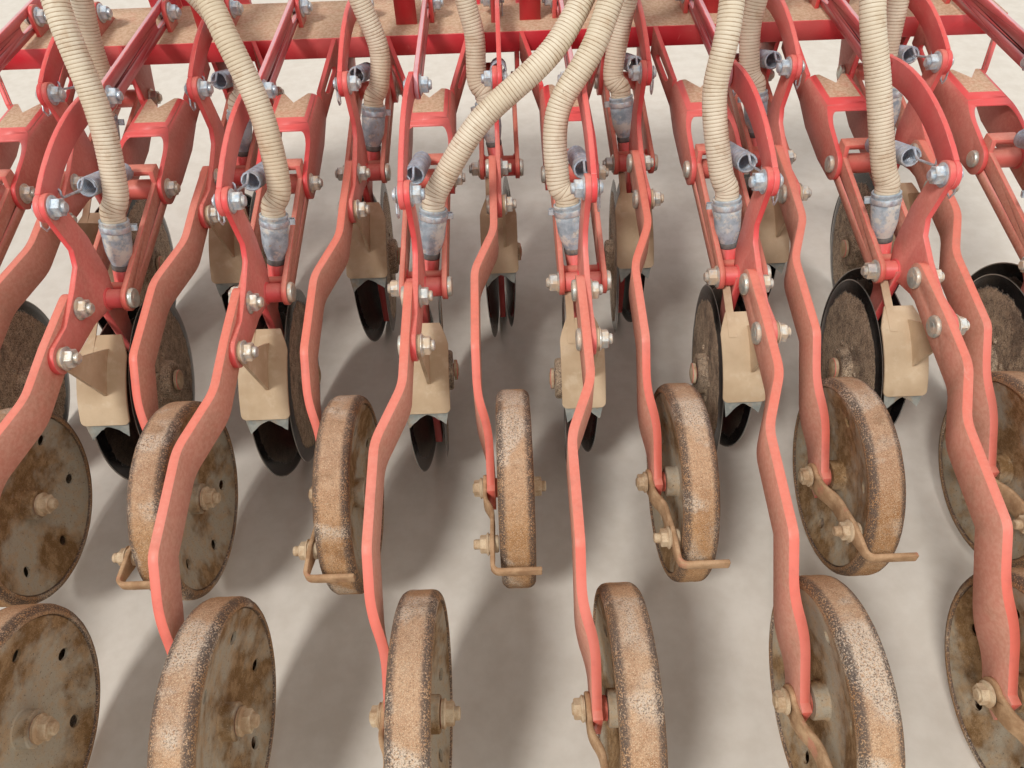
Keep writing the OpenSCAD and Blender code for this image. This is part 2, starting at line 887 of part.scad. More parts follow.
module ring_sector_2d(r1, r2, a1, a2) {
    intersection() {
        difference() {
            circle(r2, $fn = 96);
            circle(r1, $fn = 96);
        }
        polygon([
            [0, 0],
            2 * r2 * [cos(a1), sin(a1)],
            2 * r2 * [cos((a1 + a2) / 2), sin((a1 + a2) / 2)],
            2 * r2 * [cos(a2), sin(a2)]
        ]);
    }
}

module disc_guard() {
    centre = [disc_y, disc_z];
    function on_guard(a) = centre + (guard_r + 1) * [cos(a), sin(a)];
    side_plate(disc_x, guard_width)
        translate(centre) ring_sector_2d(guard_r, guard_r + guard_t, guard_from, guard_to);
    // Rib that hangs the guard from the main plate
    side_plate(rib_x, rib_t)
        difference() {
            union() {
                polygon([
                    on_guard(guard_from),
                    on_guard(guard_to - 14),
                    bolt_c - [rib_eye_r, 0],
                    bolt_c + [0, rib_eye_r],
                    bolt_c + [rib_eye_r, 0]
                ]);
                translate(bolt_c) circle(rib_eye_r);
            }
            translate(bolt_c) circle(hole_r);
        }
}

module disc_guards() {
    color("tan") for (row = ROWS) in_row(row) disc_guard();
}

// Bent bar with an eye on the axle, whose tapered end wipes the back of the tyre
scraper_t = 6;
scraper_eye_r = 20;
scraper_bend_r = 12;
scraper_over = 6;
scraper_tyre_gap = 7;
scraper_y = -wheel_d / 2 - 20;
scraper_x = arm_end_x - arm_thickness / 2 - seat_gap;
module wheel_scraper() {
    eye_x = scraper_x - scraper_t / 2;
    leg_x = -(tyre_width + scraper_t) / 2 - scraper_tyre_gap;
    axle = [0, wheel_d / 2];
    difference() {
        intersection() {
            linear_extrude(wheel_d)
                bent_bar_2d([
                    [eye_x, scraper_eye_r + 1],
                    [eye_x, -arm_tail - scraper_bend_r - 1],
                    [leg_x, -arm_tail - 3 * scraper_bend_r],
                    [leg_x, scraper_y],
                    [tyre_width / 2 + scraper_over, scraper_y]
                ], scraper_bend_r, scraper_t);
            side_plate(0, 2 * tyre_width + 2 * scraper_eye_r)
                translate(axle) {
                    circle(scraper_eye_r);
                    polygon(wheel_d / 2 * [
                        [0, 0.107], [-0.8, 0.36], [-1.2, 0.38], [-1.2, 0.287],
                        [-1.107, 0.287], [-1, 0.24], [-0.8, 0.147], [0, -0.107]
                    ]);
                }
        }
        rod_x(
            0, axle[1], eye_x - scraper_t, eye_x + scraper_t,
            wheel_axle_d + 2 * hole_clearance
        );
    }
}

module wheel_scrapers() {
    color("indianred") for (row = ROWS) in_row(row) wheel_scraper();
}

// A bolt along X with a domed head on one side and a hex nut on the other
module pivot_bolt(p, x0, x1, s) {
    rod_x(p[0], p[1], x0 - seat_gap, x1 + seat_gap, bolt_d);
    if (s > 0) {
        rod_x(p[0], p[1], x0 - seat_gap - head_h, x0 - seat_gap, head_d + 4);
        hex_x(p[0], p[1], x1 + seat_gap, x1 + seat_gap + head_h + 4, head_d);
    } else {
        hex_x(p[0], p[1], x0 - seat_gap - head_h - 4, x0 - seat_gap, head_d);
        rod_x(p[0], p[1], x1 + seat_gap, x1 + seat_gap + head_h, head_d + 4);
    }
}

module row_bolts(row) {
    s = hand(row);
    half = plate / 2;
    link_lo = min(link_x(row), plate_x) - half;
    link_hi = max(link_x(row), plate_x) + half;
    pivot_bolt(pivot_a, ear_left_x - half, ear_right_x + half, 1);
    pivot_bolt(pivot_b, strap_left_x - half, strap_right_x + half, -1);
    pivot_bolt(pivot_t, link_lo, link_hi, s);
    pivot_bolt(pivot_p, link_lo, link_hi, s);
    pivot_bolt(bolt_c, arm_x - arm_thickness / 2, rib_x + rib_t / 2, 1);
    pivot_bolt(bolt_d_pos, arm_x - arm_thickness / 2, plate_x + half, 1);
}

module pivot_bolts() {
    color("gainsboro") {
        for (row = ROWS) in_row(row) row_bolts(row);
        for (row = REAR_ROWS) in_row(row)
            pivot_bolt(
                slot_bolt,
                plate_x - (hand(row) > 0 ? plate / 2 : plate * 1.5 + seat_gap),
                plate_x + (hand(row) > 0 ? plate * 1.5 + seat_gap : plate / 2),
                hand(row)
            );
    }
}

// Hose rail on posts: a plate that holds two rows of spigots
rail_t = 6;
rail_high_z = rail_low_z + rail_row_gap;
spigot_back = 30;
spigot_front = 34;
post_x = [-552, -175, 60, 400, 645];
post_w = 40;
rail_margin = 45;
post_margin = 30;

// Hoses: row number in ROWS, spigot [x, 1 for the upper row], then points between
// boot and spigot [x, forward of the rear wheel axles, above the beam's middle]
HOSES = [
    [0, [-800, 1], [[-848, 695, -14], [-838, 735, 76], [-826, 790, 201], [-810, 900, 321]]],
    [1, [-640, 1], [[-598, 692, -21], [-595, 735, 81], [-618, 795, 216], [-636, 900, 323]]],
    [2, [-470, 1], [[-347, 692, -21], [-358, 736, 79], [-396, 784, 186], [-455, 890, 311]]],
    [3, [150, 0], [[-98, 688, -29], [-32, 724, 54], [87, 780, 143], [160, 900, 246]]],
    [4, [205, 1], [[82, 688, -29], [84, 729, 63], [144, 775, 154], [203, 890, 301]]],
    [5, [345, 1], [[332, 690, -21], [316, 735, 76], [330, 775, 171], [344, 890, 311]]],
    [6, [555, 1], [[582, 690, -21], [557, 735, 81], [532, 785, 186], [550, 895, 316]]],
    [7, [800, 1], [[831, 692, -19], [815, 735, 81], [806, 790, 201], [802, 900, 321]]],
    [8, [-700, 0], [[-722, 1022, -29], [-724, 1045, 51], [-714, 1062, 136], [-703, 1080, 226]]],
    [9, [-590, 0], [[-471, 1022, -29], [-474, 1034, 41], [-502, 1036, 116], [-560, 1058, 181]]],
    [10, [-260, 0], [[-223, 1022, -29], [-217, 1040, 31], [-243, 1056, 121], [-260, 1078, 216]]],
    [11, [-65, 0], [[-44, 1022, -29], [-44, 1044, 41], [-58, 1060, 111], [-65, 1080, 221]]],
    [12, [260, 0], [[206, 1022, -29], [216, 1044, 41], [230, 1054, 111], [256, 1070, 191]]],
    [13, [460, 0], [[457, 1022, -29], [450, 1044, 41], [458, 1060, 111], [460, 1080, 221]]],
    [14, [700, 0], [[706, 1022, -29], [704, 1044, 51], [702, 1062, 136], [700, 1080, 226]]]
];

function spigot_at(h) = [h[1][0], rail_y - spigot_back - seat_gap, rail_low_z + h[1][1] * rail_row_gap];

module hose_rail() {
    color("firebrick") in_bar() {
        difference() {
            translate([-beam_length / 2 + 20, rail_y, rail_low_z - rail_margin])
                cube([beam_length - 40, rail_t, rail_row_gap + 2 * rail_margin]);
            for (h = HOSES)
                translate([spigot_at(h)[0], rail_y - 1, spigot_at(h)[2]])
                    rotate([-90, 0, 0]) cylinder(d = spigot_d - 1, h = rail_t + 2);
        }
        for (x = post_x)
            translate([x - post_w / 2, rail_y + rail_t, beam_top_z])
                cube([post_w, plate, rail_high_z + post_margin - beam_top_z]);
    }
    color("silver") in_bar()
        for (h = HOSES)
            translate([spigot_at(h)[0], rail_y - spigot_back, spigot_at(h)[2]])
                rotate([-90, 0, 0])
                    difference() {
                        cylinder(d = spigot_d, h = spigot_back + rail_t + spigot_front);
                        translate([0, 0, -1])
                            cylinder(
                                d = spigot_d - 2 * spigot_wall,
                                h = spigot_back + rail_t + spigot_front + 2
                            );
                    }
}

// Smooth curve through the points of a hose
hose_sides = 10;
hose_steps = 3;
hose_lead = 14;
spigot_lead = 45;
function boot_mouth(row) =
    [row_x(row), row_y(row) - rear_y, 0] + boot_foot(row)
        + (boot_length + seat_gap) * boot_dir(row);
function hose_points(h) = let (
        row = ROWS[h[0]],
        a = boot_mouth(row),
        e = spigot_at(h)
    ) concat(
        [for (d = [0, boot_collar, boot_collar + hose_lead]) a + d * boot_dir(row)],
        [for (p = h[2]) p + [0, 0, flange_height]],
        [e - [0, spigot_lead, 0], e]
    );
function curve(p0, p1, p2, p3, t) =
    0.5 * (2 * p1 + (p2 - p0) * t + (2 * p0 - 5 * p1 + 4 * p2 - p3) * t * t
        + (3 * p1 - p0 - 3 * p2 + p3) * t * t * t);
function smooth(p) = let (
        n = len(p),
        q = concat([2 * p[0] - p[1]], p, [2 * p[n - 1] - p[n - 2]])
    ) concat(
        [for (i = [1:n - 1], k = [0:hose_steps - 1])
            curve(q[i - 1], q[i], q[i + 1], q[i + 2], k / hose_steps)],
        [p[n - 1]]
    );

// Round bar of diameter d along a path whose ends point along t0 and t1
module tube_along(path, d, t0, t1) {
    n = len(path);
    ring = function(i)
        let (
            t = i == 0 ? t0 : i == n - 1 ? t1 : unit(path[i + 1] - path[i - 1]),
            u = unit(cross(t, [1, 0, 0])),
            v = cross(t, u)
        )
        [for (k = [0:hose_sides - 1])
            path[i] + d / 2 * (cos(k * 360 / hose_sides) * u + sin(k * 360 / hose_sides) * v)];
    pts = [for (i = [0:n - 1]) each ring(i)];
    last = (n - 1) * hose_sides;
    faces = concat(
        [[for (k = [0:hose_sides - 1]) k]],
        [for (i = [0:n - 2], k = [0:hose_sides - 1])
            let (a = i * hose_sides, m = (k + 1) % hose_sides)
            [a + k, a + hose_sides + k, a + hose_sides + m, a + m]],
        [[for (k = [hose_sides - 1:-1:0]) last + k]]
    );
    polyhedron(pts, faces);
}

module seed_hoses() {
    color("tan") in_bar()
        for (h = HOSES)
            tube_along(smooth(hose_points(h)), hose_d, boot_dir(ROWS[h[0]]), [0, 1, 0]);
}

MOVING = [for (kind = ["press_wheel_", "disc_left_", "disc_right_"], name = ROW_NAMES)
    str(kind, name)];

beam();
yokes();
opener_frames();
main_plates();
wheel_arms();
curved_links();
slotted_links();
slot_lugs();
springs();
hose_boots();
seed_hoses();
disc_guards();
wheel_scrapers();
pivot_bolts();
hose_rail();
for (i = [0:len(ROWS) - 1]) {
    name = ROW_NAMES[i];
    press_wheel(ROWS[i]);
    opener_disc(ROWS[i], -1);
    opener_disc(ROWS[i], 1);
}
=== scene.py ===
"""Looks of the seed drill's coulter bar: ribbed hoses, coil springs, soiled wheels and discs, worn red paint."""
import math
import random

import bmesh
import bpy
from mathutils import Matrix, Vector


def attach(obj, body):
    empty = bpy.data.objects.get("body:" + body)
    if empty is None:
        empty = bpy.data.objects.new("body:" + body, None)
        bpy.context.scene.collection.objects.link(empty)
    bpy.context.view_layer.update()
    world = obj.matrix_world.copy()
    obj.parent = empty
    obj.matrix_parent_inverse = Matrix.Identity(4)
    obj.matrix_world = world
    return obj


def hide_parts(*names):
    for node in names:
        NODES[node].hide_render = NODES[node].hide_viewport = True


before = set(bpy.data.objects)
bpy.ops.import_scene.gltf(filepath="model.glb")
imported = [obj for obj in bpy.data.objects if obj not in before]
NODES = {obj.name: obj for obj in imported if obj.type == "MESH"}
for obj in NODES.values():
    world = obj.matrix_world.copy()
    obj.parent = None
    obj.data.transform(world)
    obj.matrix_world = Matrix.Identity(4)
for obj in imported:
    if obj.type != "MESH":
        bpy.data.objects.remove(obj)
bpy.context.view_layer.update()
MM = 0.001
ROOT = "coulter_bar"

# Rows, in mm. REAR_Y is the wheel axles' place in the rear rank, GROUND the ground's height.
PITCH, RANK_GAP, REAR_Y, GROUND = 250, 334, -1298, -489
ROWS = {}
for i in range(8):
    ROWS["r%d" % (i + 1)] = ((i - 3.5) * PITCH, REAR_Y)
for i in range(7):
    ROWS["f%d" % (i + 1)] = ((i - 3) * PITCH, REAR_Y + RANK_GAP)


def hand(row):
    """1 for a left-hand unit, -1 for a right-hand one."""
    return 1 if ROWS[row][0] < 0 else -1


def place(row):
    """Moves a piece drawn in a row's own place (Y 0 over its wheel axle, Z 0 on the ground)."""
    x, y = ROWS[row]
    return Matrix.Translation(Vector((x, y, GROUND)) * MM)


# Camera, fitted to the photo
PITCH_DOWN, ROLL, FOCAL_PX, PHOTO_WIDTH, SENSOR = 47.7, 2.11, 769.0, 1024, 36.0
EYE = (0, -1.639, 0.637)
camera = bpy.data.cameras.new("camera")
camera.sensor_width = SENSOR
camera.lens = FOCAL_PX / PHOTO_WIDTH * SENSOR
camera.clip_start = 0.05
cam = bpy.data.objects.new("camera", camera)
bpy.context.scene.collection.objects.link(cam)
cam.matrix_world = (
    Matrix.Translation(EYE)
    @ Matrix.Rotation(math.radians(90 - PITCH_DOWN), 4, "X")
    @ Matrix.Rotation(math.radians(-ROLL), 4, "Z")
)
bpy.context.scene.camera = cam
bpy.context.scene.view_settings.view_transform = "Standard"


# Materials
def srgb(r, g, b):
    """8-bit sRGB to linear."""
    return tuple((c / 255 / 12.92) if c <= 10 else ((c / 255 + 0.055) / 1.055) ** 2.4 for c in (r, g, b)) + (1.0,)


class Nodes:
    """Short way to write a material's node tree."""

    def __init__(self, name):
        self.mat = bpy.data.materials.new(name)
        self.mat.use_nodes = True
        self.tree = self.mat.node_tree
        self.tree.nodes.clear()
        self.out = self.tree.nodes.new("ShaderNodeOutputMaterial")
        self.bsdf = self.tree.nodes.new("ShaderNodeBsdfPrincipled")
        self.link(self.bsdf.outputs[0], self.out.inputs[0])
        self.coords = None
        self.normal = None

    def link(self, a, b):
        self.tree.links.new(a, b)

    def put(self, socket, value):
        """Links an output to the socket, or sets the socket's own value."""
        if hasattr(value, "is_linked") or hasattr(value, "links"):
            self.link(value, socket)
        else:
            socket.default_value = value

    def place(self):
        """Object coordinates, shifted per piece so that like pieces differ."""
        if self.coords is None:
            tc = self.tree.nodes.new("ShaderNodeTexCoord")
            info = self.tree.nodes.new("ShaderNodeObjectInfo")
            shift = self.math("MULTIPLY", info.outputs["Random"], 7.3)
            add = self.tree.nodes.new("ShaderNodeVectorMath")
            self.link(tc.outputs["Object"], add.inputs[0])
            self.link(shift, add.inputs[1])
            self.coords = add.outputs[0]
        return self.coords

    def noise(self, scale, detail=4.0, rough=0.55, stretch=None, distortion=0.0):
        n = self.tree.nodes.new("ShaderNodeTexNoise")
        v = self.place()
        if stretch:
            m = self.tree.nodes.new("ShaderNodeMapping")
            m.inputs["Scale"].default_value = stretch
            self.link(v, m.inputs[0])
            v = m.outputs[0]
        self.link(v, n.inputs["Vector"])
        n.inputs["Scale"].default_value = scale
        n.inputs["Detail"].default_value = detail
        n.inputs["Roughness"].default_value = rough
        n.inputs["Distortion"].default_value = distortion
        return n.outputs[0]

    def ramp(self, value, low, high, a=0.0, b=1.0):
        """value from low..high to a..b, clamped."""
        n = self.tree.nodes.new("ShaderNodeMapRange")
        n.interpolation_type = "SMOOTHSTEP"
        self.link(value, n.inputs[0])
        for i, v in enumerate((low, high, a, b)):
            n.inputs[i + 1].default_value = v
        return n.outputs[0]

    def math(self, op, a, b=0.0, clamp=False):
        n = self.tree.nodes.new("ShaderNodeMath")
        n.operation = op
        n.use_clamp = clamp
        self.put(n.inputs[0], a)
        self.put(n.inputs[1], b)
        return n.outputs[0]

    def product(self, a, b):
        return self.math("MULTIPLY", a, b)

    def plus(self, a, b):
        return self.math("ADD", a, b)

    def wave(self, value, size):
        """A noise value, centred on 0 and scaled."""
        return self.product(self.math("SUBTRACT", value, 0.5), size)

    def mix(self, factor, a, b):
        n = self.tree.nodes.new("ShaderNodeMix")
        n.data_type = "RGBA"
        self.put(n.inputs[0], factor)
        self.put(n.inputs[6], a)
        self.put(n.inputs[7], b)
        return n.outputs[2]

    def toward(self, axis, kind="Normal"):
        """How much the surface faces along a world axis, -1 to 1."""
        g = self.tree.nodes.new("ShaderNodeNewGeometry")
        s = self.tree.nodes.new("ShaderNodeSeparateXYZ")
        self.link(g.outputs[kind], s.inputs[0])
        return s.outputs["XYZ".index(axis)]

    def radius(self, axis):
        """Distance from the object's own axis, in metres."""
        tc = self.tree.nodes.new("ShaderNodeTexCoord")
        flat = self.tree.nodes.new("ShaderNodeVectorMath")
        flat.operation = "MULTIPLY"
        flat.inputs[1].default_value = [0.0 if k == axis else 1.0 for k in "XYZ"]
        self.link(tc.outputs["Object"], flat.inputs[0])
        size = self.tree.nodes.new("ShaderNodeVectorMath")
        size.operation = "LENGTH"
        self.link(flat.outputs[0], size.inputs[0])
        return size.outputs["Value"]

    def height(self, axis):
        """Place along one of the object's own axes, in metres."""
        tc = self.tree.nodes.new("ShaderNodeTexCoord")
        sep = self.tree.nodes.new("ShaderNodeSeparateXYZ")
        self.link(tc.outputs["Object"], sep.inputs[0])
        return sep.outputs["XYZ".index(axis)]

    def bump(self, height, strength=0.3, distance=0.001):
        n = self.tree.nodes.new("ShaderNodeBump")
        n.inputs["Strength"].default_value = strength
        n.inputs["Distance"].default_value = distance
        self.link(height, n.inputs["Height"])
        if self.normal is not None:
            self.link(self.normal, n.inputs["Normal"])
        self.normal = n.outputs[0]
        self.link(self.normal, self.bsdf.inputs["Normal"])

    def finish(self, color, rough, metallic=0.0, spec=0.5):
        self.put(self.bsdf.inputs["Base Color"], color)
        self.put(self.bsdf.inputs["Roughness"], rough)
        self.put(self.bsdf.inputs["Metallic"], metallic)
        self.bsdf.inputs["Specular IOR Level"].default_value = spec
        return self.mat


DUST = srgb(192, 158, 128)
DUST_PALE = srgb(212, 184, 156)
DUST_DARK = srgb(140, 106, 80)


def paint(name, edge, side, film, top_dust, level=False, streak=0.35):
    """Old red paint. Narrow edges keep the paler edge colour, which is rubbed paint and a painted highlight where they
    catch the light. Broad sides have theirs under a film of dust.

    top_dust lies on what faces up, and with level only on what is truly level.
    """
    m = Nodes(name)
    big, mid, fine, grain = m.noise(5, 3), m.noise(26, 5, 0.6), m.noise(170, 4, 0.65), m.noise(900, 2)
    broad = m.ramp(m.math("ABSOLUTE", m.toward("X")), 0.35, 0.8)
    # narrow faces take the paler edge colour: rubbed paint and a painted highlight
    color = m.mix(broad, edge, side)
    color = m.mix(m.ramp(big, 0.38, 0.68, 0, 0.3), color, srgb(232, 158, 146))
    color = m.mix(m.ramp(mid, 0.5, 0.75, 0, 0.25), color, srgb(150, 40, 44))
    scuff = m.noise(52, 6, 0.75, stretch=(1, 0.2, 1), distortion=0.8)
    color = m.mix(m.ramp(scuff, 0.62, 0.74, 0, streak), color, srgb(238, 168, 156))
    chips = m.ramp(m.noise(110, 5, 0.75), 0.715, 0.735, 0, 0.8)
    color = m.mix(chips, color, srgb(236, 196, 164))
    deep = m.ramp(m.noise(75, 5, 0.75), 0.72, 0.74, 0, 0.8)
    color = m.mix(deep, color, srgb(96, 62, 52))
    if level:
        settled = m.ramp(m.toward("Z", "True Normal"), 0.985, 0.998, 0, top_dust)
    else:
        settled = m.ramp(m.toward("Z"), 0.45, 0.97, 0, top_dust)
    lying = m.plus(m.product(broad, film), settled)
    patch = m.plus(m.wave(mid, 0.7), m.wave(fine, 0.2))
    cover = m.math("MULTIPLY", lying, m.plus(patch, 1.0), clamp=True)
    soil = m.mix(m.ramp(fine, 0.35, 0.65), DUST, DUST_PALE)
    soil = m.mix(m.ramp(grain, 0.58, 0.78, 0, 0.4), soil, DUST_DARK)
    color = m.mix(cover, color, soil)
    m.bump(mid, 0.2, 0.001)
    m.bump(m.product(cover, fine), 0.35, 0.0006)
    m.bump(grain, 0.2, 0.0002)
    return m.finish(color, m.plus(m.product(cover, 0.35), 0.42), 0.0, 0.45)


def worn_edge_and_highlight(name, pale, bare):
    """Paint rubbed thin along an edge, with bare spots; on the bevels its pale colour is also a painted highlight."""
    m = Nodes(name)
    color = m.mix(m.ramp(m.noise(45, 5, 0.7), 0.36, 0.6), pale, srgb(224, 92, 90))
    color = m.mix(m.ramp(m.noise(95, 5, 0.75), 0.62, 0.68, 0, 0.7), color, bare)
    return m.finish(color, 0.5, 0.0, 0.45)


RED = paint("red_paint", srgb(226, 80, 80), srgb(186, 66, 70), 0.3, 1.0, level=True)
RED_PLATE = paint("red_paint_plate", srgb(228, 84, 84), srgb(214, 92, 94), 0.3, 0.25, streak=0.5)
RED_LINK = paint("red_paint_link", srgb(232, 74, 78), srgb(190, 50, 62), 0.12, 0.12)
RED_SLOTTED = paint("red_paint_slotted", srgb(228, 176, 186), srgb(190, 50, 72), 0.1, 0.1)
RED_ARM = paint("red_paint_arm", srgb(232, 112, 96), srgb(226, 122, 112), 0.5, 0.2, streak=0.55)
RED_FRAME = paint("red_paint_frame", srgb(220, 104, 92), srgb(196, 84, 80), 0.45, 0.3)
BEAM_RED = paint("beam_paint", srgb(206, 36, 52), srgb(190, 40, 52), 0.15, 1.0, level=True)
# Bevel colours: rubbed paint, and pale also as a painted highlight on edges that catch the light
EDGE_WEAR_AND_HIGHLIGHT = worn_edge_and_highlight("worn_edge_and_highlight", srgb(236, 132, 126), srgb(226, 176, 150))
DUSTY_EDGE_AND_HIGHLIGHT = worn_edge_and_highlight("dusty_edge_and_highlight", srgb(226, 138, 116), srgb(206, 168, 136))


def zinc(name, bright, dull, soil, amount):
    """Zinc-plated steel with soil in its hollows."""
    m = Nodes(name)
    mid, fine = m.noise(110, 4, 0.6), m.noise(800, 2)
    color = m.mix(m.ramp(mid, 0.35, 0.65), bright, dull)
    cover = m.product(m.ramp(m.noise(70, 5, 0.7), 0.42, 0.62), amount)
    color = m.mix(cover, color, m.mix(m.ramp(fine, 0.35, 0.65), soil, DUST_PALE))
    m.bump(mid, 0.25, 0.0004)
    m.bump(fine, 0.25, 0.0002)
    rough = m.plus(m.product(cover, 0.4), 0.36)
    return m.finish(color, rough, m.math("SUBTRACT", 0.6, m.product(cover, 0.55)))


def hose():
    """Cream plastic with stains."""
    m = Nodes("hose_plastic")
    big, mid, fine = m.noise(7, 4), m.noise(40, 5, 0.65), m.noise(500, 3)
    color = m.mix(m.ramp(big, 0.35, 0.65), srgb(226, 215, 194), srgb(208, 192, 166))
    color = m.mix(m.ramp(mid, 0.5, 0.72, 0, 0.5), color, srgb(184, 152, 118))
    color = m.mix(m.ramp(m.noise(90, 4, 0.7), 0.68, 0.74, 0, 0.6), color, srgb(132, 108, 84))
    m.bump(mid, 0.15, 0.0006)
    m.bump(fine, 0.25, 0.0003)
    return m.finish(color, 0.55, 0.0, 0.4)


def hose_groove():
    m = Nodes("hose_groove")
    # painted shade: the grooves between the hose's rings are darker than the rings
    color = m.mix(m.ramp(m.noise(40, 4), 0.35, 0.65), srgb(192, 172, 146), srgb(158, 134, 108))
    return m.finish(color, 0.75, 0.0, 0.25)


def boot():
    """Blue-grey rubber with pale and earthy patches."""
    m = Nodes("boot_rubber")
    mid, fine = m.noise(55, 5, 0.65), m.noise(300, 4, 0.7)
    color = m.mix(m.ramp(mid, 0.35, 0.65), srgb(142, 156, 166), srgb(182, 194, 202))
    color = m.mix(m.ramp(m.noise(30, 5, 0.7), 0.48, 0.6, 0, 0.8), color, srgb(218, 214, 202))
    color = m.mix(m.ramp(m.noise(90, 5, 0.75), 0.58, 0.68, 0, 0.75), color, srgb(176, 152, 120))
    color = m.mix(m.ramp(m.noise(70, 5, 0.75), 0.66, 0.72, 0, 0.7), color, srgb(92, 88, 84))
    m.bump(mid, 0.4, 0.0012)
    m.bump(fine, 0.4, 0.0006)
    return m.finish(color, 0.7, 0.0, 0.4)


def boot_foot():
    m = Nodes("boot_foot")
    mid, fine = m.noise(70, 5, 0.65), m.noise(500, 3)
    color = m.mix(m.ramp(mid, 0.35, 0.65), srgb(92, 92, 92), srgb(124, 120, 114))
    color = m.mix(m.ramp(m.noise(40, 4, 0.6), 0.55, 0.7, 0, 0.6), color, srgb(176, 152, 124))
    m.bump(fine, 0.3, 0.0004)
    return m.finish(color, 0.82, 0.0, 0.25)


def tyre():
    """Soil dust on the tread, bare speckled rubber on the shoulders, and a painted sky reflection on the upper side."""
    m = Nodes("tyre")
    big, mid, fine, grain = m.noise(9, 4, 0.6), m.noise(60, 6, 0.7), m.noise(330, 4, 0.7), m.noise(950, 2)
    color = m.mix(m.ramp(big, 0.35, 0.65), srgb(190, 146, 102), srgb(160, 114, 70))
    color = m.mix(m.ramp(mid, 0.42, 0.68, 0, 0.5), color, srgb(202, 168, 132))
    pale = m.ramp(m.noise(13, 3, 0.5, distortion=0.5), 0.5, 0.62)
    color = m.mix(m.product(pale, m.ramp(fine, 0.36, 0.56, 0, 0.8)), color, srgb(222, 210, 192))
    # painted reflection: the upward faces take a pale lilac of sky
    color = m.mix(m.ramp(m.toward("Z"), 0.4, 1.0, 0, 0.22), color, srgb(204, 184, 178))
    color = m.mix(m.ramp(fine, 0.52, 0.64, 0, 0.6), color, srgb(132, 98, 68))
    color = m.mix(m.ramp(grain, 0.52, 0.64, 0, 0.65), color, srgb(228, 204, 172))
    dark = m.ramp(m.noise(520, 4, 0.75), 0.53, 0.6, 0, 0.85)
    color = m.mix(m.product(dark, m.plus(m.product(pale, 0.6), 0.4)), color, srgb(92, 78, 70))
    side = m.math("ABSOLUTE", m.height("X"))
    shoulder = m.product(m.ramp(side, 0.0115, 0.0185), m.ramp(side, 0.0238, 0.0250, 1, 0.5))
    speckle = m.plus(m.product(m.noise(520, 3, 0.7), 0.7), m.product(mid, 0.3))
    worn = m.product(shoulder, m.ramp(speckle, 0.42, 0.5, 0, 0.85))
    color = m.mix(worn, color, srgb(84, 74, 70))
    color = m.mix(m.ramp(m.noise(14, 5, 0.7), 0.54, 0.7, 0, 0.45), color, srgb(112, 84, 60))
    m.bump(mid, 0.5, 0.0018)
    m.bump(fine, 0.6, 0.0009)
    m.bump(grain, 0.45, 0.0005)
    return m.finish(color, 0.92, 0.0, 0.15)


def rim():
    """Grey-brown sheet steel under a grainy crust."""
    m = Nodes("wheel_face")
    big, mid, fine, grain = m.noise(11, 4, 0.6), m.noise(55, 6, 0.7), m.noise(300, 4, 0.7), m.noise(900, 2)
    color = m.mix(m.ramp(big, 0.42, 0.58), srgb(176, 166, 148), srgb(126, 96, 62))
    color = m.mix(m.ramp(mid, 0.42, 0.66, 0, 0.6), color, srgb(186, 154, 116))
    color = m.mix(m.ramp(fine, 0.6, 0.68, 0, 0.75), color, srgb(78, 66, 54))
    color = m.mix(m.ramp(grain, 0.58, 0.72, 0, 0.6), color, srgb(206, 186, 158))
    # painted shade: the rolled lip beside the tyre is darkened
    lip = m.ramp(m.radius("X"), 0.1335, 0.136)
    color = m.mix(m.product(lip, 0.8), color, srgb(74, 60, 50))
    m.bump(mid, 0.5, 0.002)
    m.bump(fine, 0.6, 0.001)
    m.bump(grain, 0.4, 0.0005)
    return m.finish(color, 0.88, 0.0, 0.2)


def disc_steel():
    """Black polished outer band, grainy soil crust further in, thin bright cutting edge."""
    m = Nodes("disc_steel")
    radius = m.radius("Z")
    big, mid, fine, grain = m.noise(12, 4, 0.6), m.noise(62, 6, 0.75), m.noise(260, 4, 0.7), m.noise(800, 2)
    steel = m.mix(m.ramp(mid, 0.4, 0.7), srgb(28, 27, 29), srgb(52, 48, 47))
    steel = m.mix(m.ramp(fine, 0.62, 0.72, 0, 0.6), steel, srgb(120, 108, 96))
    soil = m.mix(m.ramp(mid, 0.38, 0.62), srgb(104, 82, 64), srgb(178, 152, 124))
    soil = m.mix(m.ramp(fine, 0.52, 0.62, 0, 0.85), soil, srgb(62, 50, 42))
    soil = m.mix(m.ramp(grain, 0.5, 0.58, 0, 0.85), soil, srgb(224, 204, 178))
    soil = m.mix(m.ramp(big, 0.52, 0.66, 0, 0.55), soil, srgb(66, 50, 42))
    ragged = m.plus(m.wave(m.noise(20, 5, 0.7), 0.03), m.wave(fine, 0.012))
    reach = m.plus(radius, ragged)
    crust = m.product(m.ramp(reach, 0.130, 0.134, 1, 0), m.ramp(m.noise(90, 5, 0.8), 0.3, 0.46, 0.6, 1.0))
    # the faces that look at each other stay scoured
    crust = m.product(crust, m.ramp(m.height("Z"), -0.001, 0.001, 0.22, 1.0))
    color = m.mix(crust, steel, soil)
    color = m.mix(m.ramp(radius, 0.1535, 0.1545, 0, 0.85), color, srgb(196, 192, 184))
    m.bump(m.product(crust, mid), 0.7, 0.003)
    m.bump(m.product(crust, fine), 0.6, 0.0012)
    rough = m.plus(m.product(crust, 0.6), 0.24)
    return m.finish(color, rough, m.product(m.math("SUBTRACT", 1.0, crust), 0.55), 0.5)


